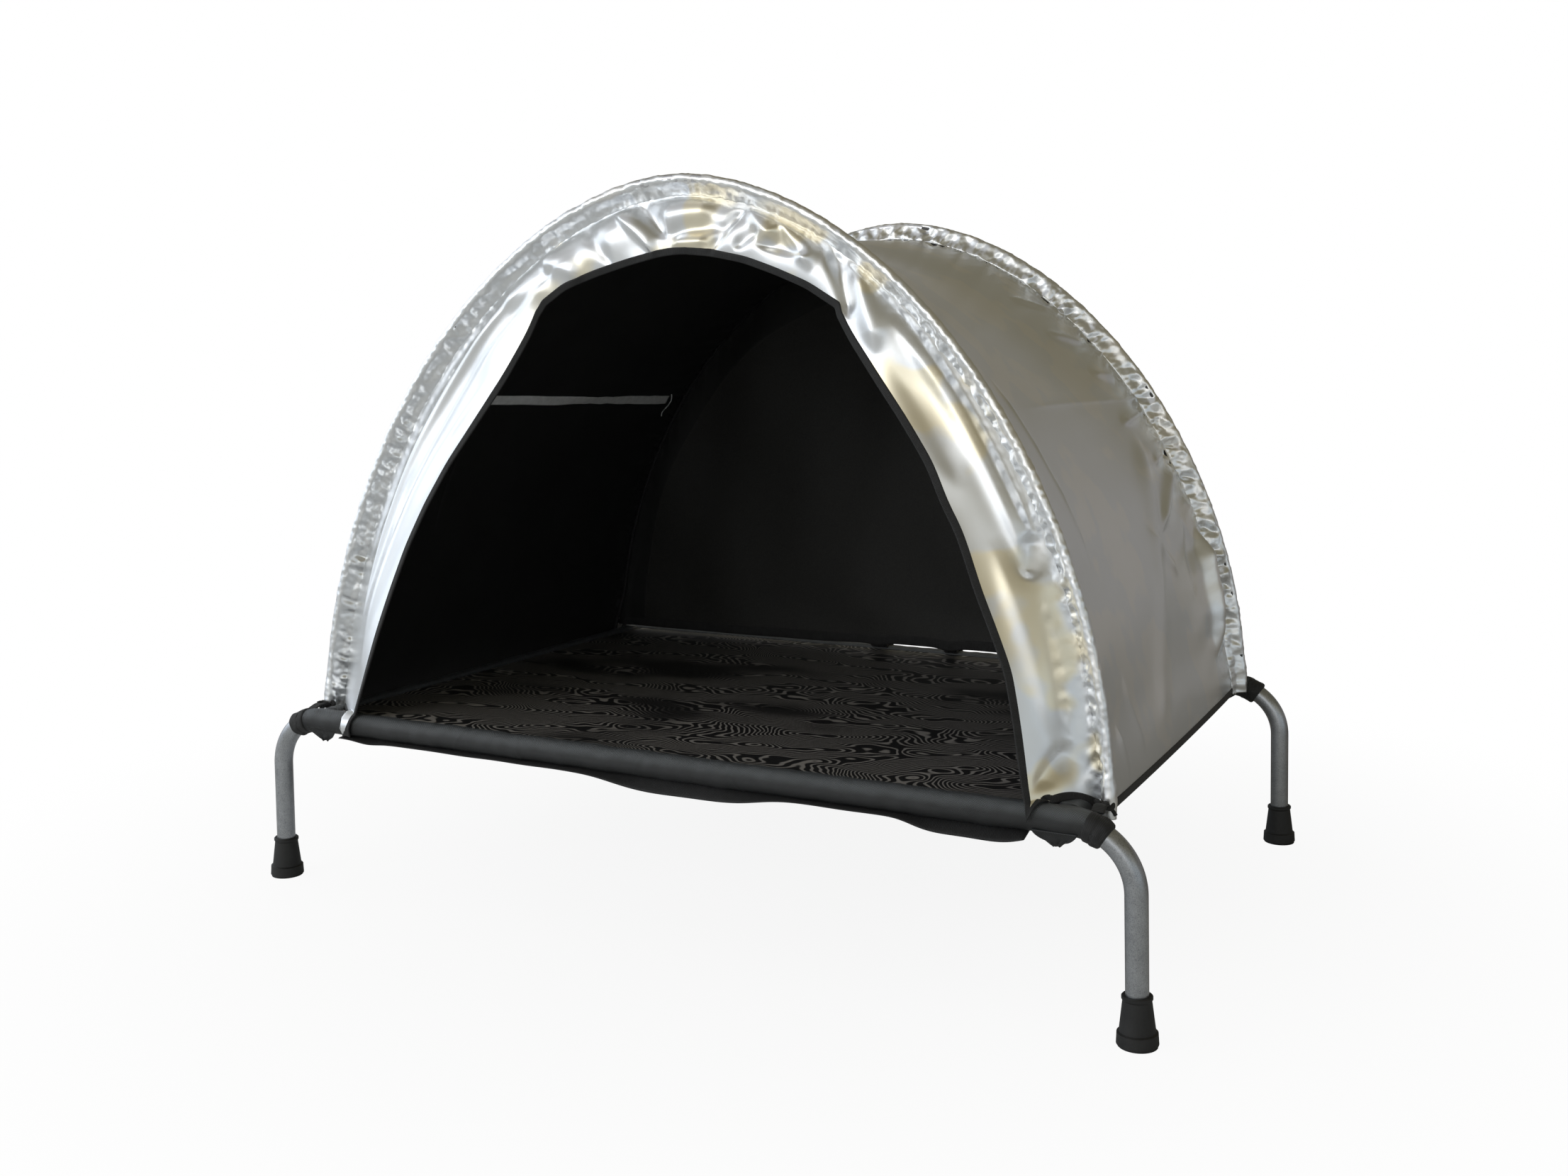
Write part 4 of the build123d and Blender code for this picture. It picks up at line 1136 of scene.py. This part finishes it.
def knot_path(count=140):
    """Middle line of a small overhand knot, about one unit across."""
    t = np.linspace(0, 2 * math.pi, count)
    return np.stack([
        (np.sin(t) + 2 * np.sin(2 * t)) / 3,
        (np.cos(t) - 2 * np.cos(2 * t)) / 3,
        -np.sin(3 * t) / 3,
    ], -1)


def join(name, objects):
    """Merge objects into one piece."""
    with bpy.context.temp_override(active_object=objects[0], selected_editable_objects=objects):
        bpy.ops.object.join()
    objects[0].name = name
    return objects[0]


def leg_band(name, y, side):
    """Rolled band of cloth round the bend of a leg."""
    path = rail_path(y, BEND_START_X + 21 * MM, BEND_START_X + 37 * MM, 1 * MM) * (side, 1, 1)
    across = np.linspace(0, 16 * MM, len(path))[:, None]
    around = np.linspace(0, 2 * math.pi, 41)[None, :-1] * 15 * MM
    rolled = np.sin(np.linspace(0, math.pi, len(path)))[:, None] ** 0.35
    slack = waves(around, across, 11 * MM, 10, corner_rng(80, y, side))
    return round_skin(name, path, 12 * MM + (3.0 + 0.7 * slack) * rolled * MM, TAPE)


def corner_loop(name, y, side):
    """Cloth band round the leg bend, a tape up to the hoop's foot and a knotted cord through its eyelet."""
    pieces = [leg_band(f"{name}_loop_band", y, side)]
    hinge = HINGE["front_hoop" if y < 0 else "rear_hoop"]
    low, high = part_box(f"{name}_corner_loop")
    foot_x = high.x if side > 0 else low.x
    inner = np.array([side * (BEND_START_X + 22 * MM), y - np.sign(y) * 10 * MM, RAIL_Z + 9 * MM])
    knot_at = np.array([foot_x - side * 10 * MM, hinge.y + np.sign(y) * 9 * MM, hinge.z - 13 * MM])
    strap_line = smooth_curve([inner, (inner + knot_at) / 2 + (0, 0, 4 * MM), knot_at], 24, 8)
    pieces.append(tape(f"{name}_loop_strap", strap_line, (0, 0, 1), 13 * MM, 2.2 * MM, TAPE))
    knot = knot_at + knot_path() * 8.5 * MM
    pieces.append(cord(f"{name}_loop_knot", knot, 2.4 * MM, TAPE, (0.2, 0.1, 1)))
    for way in ((0.9, 0.3, -0.5), (0.5, -0.8, 0.6)):
        way = np.array(way) * (side, 1, 1) * MM
        line = smooth_curve([knot_at, knot_at + 8 * way, knot_at + 12 * way - (0, 0, 4 * MM)], 14, 6)
        pieces.append(cord(f"{name}_cord_end", line, 1.9 * MM, TAPE, (0.3, 0.9, 0.3)))
    return join(f"{name}_corner_loop_cloth", pieces)


CORNER_LOOPS = {name: corner_loop(name, y, side) for name, y, side in CORNERS}


# ---- Small tapes ----

def wall_hem(side, edge):
    """Binding along the bottom edge of a side wall."""
    return edge_tape(f"{side}_wall_hem_tape", *grid_edge(CANOPY_GRID, edge, 3), 9 * MM, 2.4 * MM, TAPE)


def sagging_strap(name, rng):
    """Slack strap under the front rail: flat against it, but turned down and baggy in two places."""
    low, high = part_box("front_strap")
    x = np.linspace(low.x, high.x, 300)
    slack = np.exp(-((x - 50 * MM) / (95 * MM)) ** 4) + 0.9 * np.exp(-((x - 372 * MM) / (58 * MM)) ** 4)
    drop = 4.0 * MM * slack + 2.5 * MM * np.exp(-((x + 385 * MM) / (22 * MM)) ** 2)
    z = high.z - 1.2 * MM - drop + waves(x, 0 * x, 90 * MM, 8, rng) * 0.4 * MM
    path = np.stack([x, np.full(len(x), -RAIL_Y), z], -1)
    turn = np.radians(42) * slack
    up = np.stack([0 * x, -np.sin(turn), np.cos(turn)], -1)
    return tape(name, path, up, high.y - low.y, 2.0 * MM, TAPE)


def rear_tie(node):
    """Tape from the back wall's hem round the outside of the rear rail and up inside it."""
    low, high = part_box(node)
    turn = np.linspace(0.75 * math.pi, -0.45 * math.pi, 40)
    rail = np.array([(low.x + high.x) / 2, RAIL_Y, RAIL_Z])
    loop = rail + (SLEEVE_R + 2.2 * MM) * np.stack([0 * turn, np.cos(turn), np.sin(turn)], -1)
    path = smooth_curve([(rail[0], REAR_Y - 1 * MM, BACK_HEM_Z + 6 * MM), *loop], 60, 4)
    return tape(f"{node}_tape", path, (path - rail) * (0, 1, 1), high.x - low.x, 1.8 * MM, TAPE)


def wall_tape():
    """Grey tape sewn along the inside of the left wall, a little lower at the back, with a loose thread."""
    low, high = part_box("wall_tape")
    rows, columns = CANOPY_GRID.shape[:2]
    normal = grid_normals(CANOPY_GRID)
    left = CANOPY_GRID[: rows // 2]
    path, facing = [], []
    for j in range(columns):
        line = left[:, j]
        if not low.y <= line[0, 1] <= high.y:
            continue
        level = np.interp(line[0, 1], (low.y, high.y), (high.z + 4 * MM, low.z + 2 * MM))
        i = int(np.abs(line[:, 2] - level).argmin())
        path.append(line[i] - normal[i, j] * (CLOTH + 1.2 * MM))
        facing.append(-normal[i, j])
    path = smooth_curve(path, 120, 20)
    facing = resample(facing, 120)
    strip = tape("left_wall_tape", path, facing, 15 * MM, 1.2 * MM, GREY_TAPE)
    end = path[-1]
    curl = [(4, 0, 12), (6, 3, 6), (6, 1, -2), (5, -6, -9), (4, -16, -15), (5, -24, -19), (6, -27, -24)]
    thread_line = smooth_curve(end + np.array(curl) * MM, 60, 10)
    thread = cord("loose_thread", thread_line, 0.8 * MM, GREY_TAPE, (1, 0.2, 0.1))
    return join("left_wall_tape", [strip, thread])


WALL_HEMS = {"left_wall_hem": wall_hem("left", "first_row"), "right_wall_hem": wall_hem("right", "last_row")}
FRONT_STRAP = sagging_strap("front_strap_tape", default_rng(91))
REAR_TIES = {node: rear_tie(node) for node in ("rear_tie_left", "rear_tie_right")}
WALL_TAPE = wall_tape()


# ---- What each piece rides on ----

def place(obj, body, slot, *nodes):
    """Set what a piece moves with and hide the CAD nodes that it stands for; the slot argument is not used.
    """
    if body:
        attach(obj, body)
    if nodes:
        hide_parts(*nodes)


place(FRONT_SLEEVE, "front_hoop", "silver_fabric", "front_hoop_sleeve")
place(REAR_SLEEVE, "rear_hoop", "silver_fabric", "rear_hoop_sleeve")
place(CANOPY, "root", "silver_fabric", "canopy")
place(WALL_TAPE, "root", "grey_tape", "wall_tape")
for piece in (CANOPY, WALL_TAPE):
    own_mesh(piece)
place(BACK_WALL, "rear_hoop", "back_fabric", "back_wall")
place(BACK_HEM, "rear_hoop", "black_tape", "back_wall_hem")
place(REAR_SEAM_BINDING, "rear_hoop", "black_tape")
place(BED, "root", "mesh_fabric", "mesh_bed")
for piece in RAIL_SLEEVES + CORNER_FLAPS:
    place(piece, "root", "mesh_fabric")
for piece in BOUND_ENDS:
    place(piece, "root", "black_tape", "sleeve_bindings")
for name, piece in CORNER_LOOPS.items():
    place(piece, "root", "black_tape", f"{name}_corner_loop")
for node, piece in {**WALL_HEMS, **REAR_TIES, "front_strap": FRONT_STRAP}.items():
    place(piece, "root", "black_tape", node)
place(FRONT_PANEL, None, "silver_fabric", "front_panel")
for piece in (OPENING_BINDING, *PANEL_FOOT_TAPES):
    place(piece, None, "black_tape", "opening_binding")
for piece in (FRONT_PANEL, OPENING_BINDING, *PANEL_FOOT_TAPES):
    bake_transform(piece)
finish_cad_nodes()


# ---- Floor, light and camera ----

def floor():
    """Pale floor, darker behind the object, that the camera sees as almost pure white."""
    bpy.ops.mesh.primitive_plane_add(size=60)
    plane = bpy.context.object
    plane.name = "floor"
    s = Shader("floor", (0.8, 0.8, 0.8), 0.8)
    glow = s.node("ShaderNodeEmission")
    glow.inputs["Color"].default_value = (1, 1, 1, 1)
    mix = s.node("ShaderNodeMixShader")
    x, y, _ = s.axes()
    s.color(s.mix(s.step(y, -0.3, 0.5), (0.86, 0.88, 0.9), (0.42, 0.405, 0.39)))
    away = s.math("SQRT", s.math("ADD", s.math("MULTIPLY", x, x), s.math("MULTIPLY", y, y)))
    seen = s.node("ShaderNodeLightPath").outputs["Is Camera Ray"]
    share = s.math("ADD", s.math("MULTIPLY", s.step(away, 0.2, 1.3), 0.1), 0.9)
    s.link(s.math("MULTIPLY", share, seen), mix.inputs[0])
    s.link(s.surface.outputs[0], mix.inputs[1])
    s.link(glow.outputs[0], mix.inputs[2])
    s.link(mix.outputs[0], s.tree.nodes["Material Output"].inputs["Surface"])
    plane.data.materials.append(s.material)


def world():
    """White backdrop for the camera; for the object, a room that is bright in front and dim behind."""
    room = bpy.data.worlds.new("room")
    bpy.context.scene.world = room
    room.use_nodes = True
    room.node_tree.nodes.clear()
    n = Nodes(room.node_tree)
    x, y, z = n.axes("Generated")
    patches = n.noise(2.1, detail=1.0, space="Generated")
    white = n.mix(n.step(x, -0.6, 0.1), (1.05, 1.14, 1.24), (1.22, 1.24, 1.24))
    white = n.mix(n.step(x, 0.3, 0.7), white, (0.68, 0.75, 0.8))
    cream = n.mix(n.step(patches, 0.36, 0.5), (1.15, 1.05, 0.8), (1.12, 1.18, 1.24))
    cream = n.mix(n.step(x, -0.1, 0.25), cream, (0.42, 0.39, 0.3))
    ceiling = n.mix(n.step(x, -0.3, 0.1), (0.5, 0.5, 0.5), (0.2, 0.178, 0.12))
    cream = n.mix(n.step(z, 0.46, 0.64), cream, ceiling)
    bright = n.mix(n.step(z, 0.22, 0.42), white, cream)
    dim = n.mix(n.step(z, 0.2, 0.42), (0.285, 0.275, 0.265), (0.175, 0.157, 0.105))
    left = n.math("MULTIPLY", n.step(x, -0.5, -0.8), n.step(z, 0.7, 0.5))
    dim = n.mix(left, dim, (0.68, 0.75, 0.85))
    view = n.mix(n.step(y, -0.15, 0.3), bright, dim)
    light = n.node("ShaderNodeBackground")
    n.link(view, light.inputs["Color"])
    seen = n.node("ShaderNodeBackground")
    seen.inputs["Color"].default_value = (1, 1, 1, 1)
    mix = n.node("ShaderNodeMixShader")
    n.link(n.node("ShaderNodeLightPath").outputs["Is Camera Ray"], mix.inputs[0])
    n.link(light.outputs[0], mix.inputs[1])
    n.link(seen.outputs[0], mix.inputs[2])
    n.link(mix.outputs[0], n.node("ShaderNodeOutputWorld").inputs["Surface"])


def area_light(name, place_at, target, size, power, color):
    """Soft rectangular light that points at a target."""
    data = bpy.data.lights.new(name, "AREA")
    data.shape = "RECTANGLE"
    data.size, data.size_y = size
    data.energy = power
    data.color = color
    light = bpy.data.objects.new(name, data)
    light.location = place_at
    light.rotation_euler = (Vector(target) - Vector(place_at)).to_track_quat("-Z", "Y").to_euler()
    bpy.context.collection.objects.link(light)


def camera():
    """Camera at standing height, a little right of the doorway, looking slightly down."""
    yaw, pitch, roll = math.radians(28.20), math.radians(8.34), math.radians(-0.52)
    ahead = Vector((-math.sin(yaw) * math.cos(pitch), math.cos(yaw) * math.cos(pitch), -math.sin(pitch)))
    level = Vector((math.cos(yaw), math.sin(yaw), 0))
    upward = level.cross(ahead)
    right = math.cos(roll) * level + math.sin(roll) * upward
    top = -math.sin(roll) * level + math.cos(roll) * upward
    data = bpy.data.cameras.new("camera")
    data.sensor_fit = "HORIZONTAL"
    data.sensor_width = 36
    data.lens = 35.37
    data.clip_start = 0.01
    viewer = bpy.data.objects.new("camera", data)
    turn = Matrix((right, top, -ahead)).transposed()
    viewer.matrix_world = Matrix.Translation((0.8939, -1.6911, 0.6307)) @ turn.to_4x4()
    bpy.context.collection.objects.link(viewer)
    bpy.context.scene.camera = viewer


floor()
world()
area_light("front_softbox", (-1.4, -3.0, 1.7), (0, 0, 0.45), (2.2, 1.4), 19, (1.0, 0.99, 0.97))
area_light("left_window", (-3.0, -0.2, 1.4), (0, 0, 0.4), (1.6, 2.0), 7.5, (0.92, 0.96, 1.0))
camera()
bpy.context.scene.view_settings.view_transform = "Standard"
bpy.context.scene.view_settings.look = "None"

bpy.context.view_layer.update()
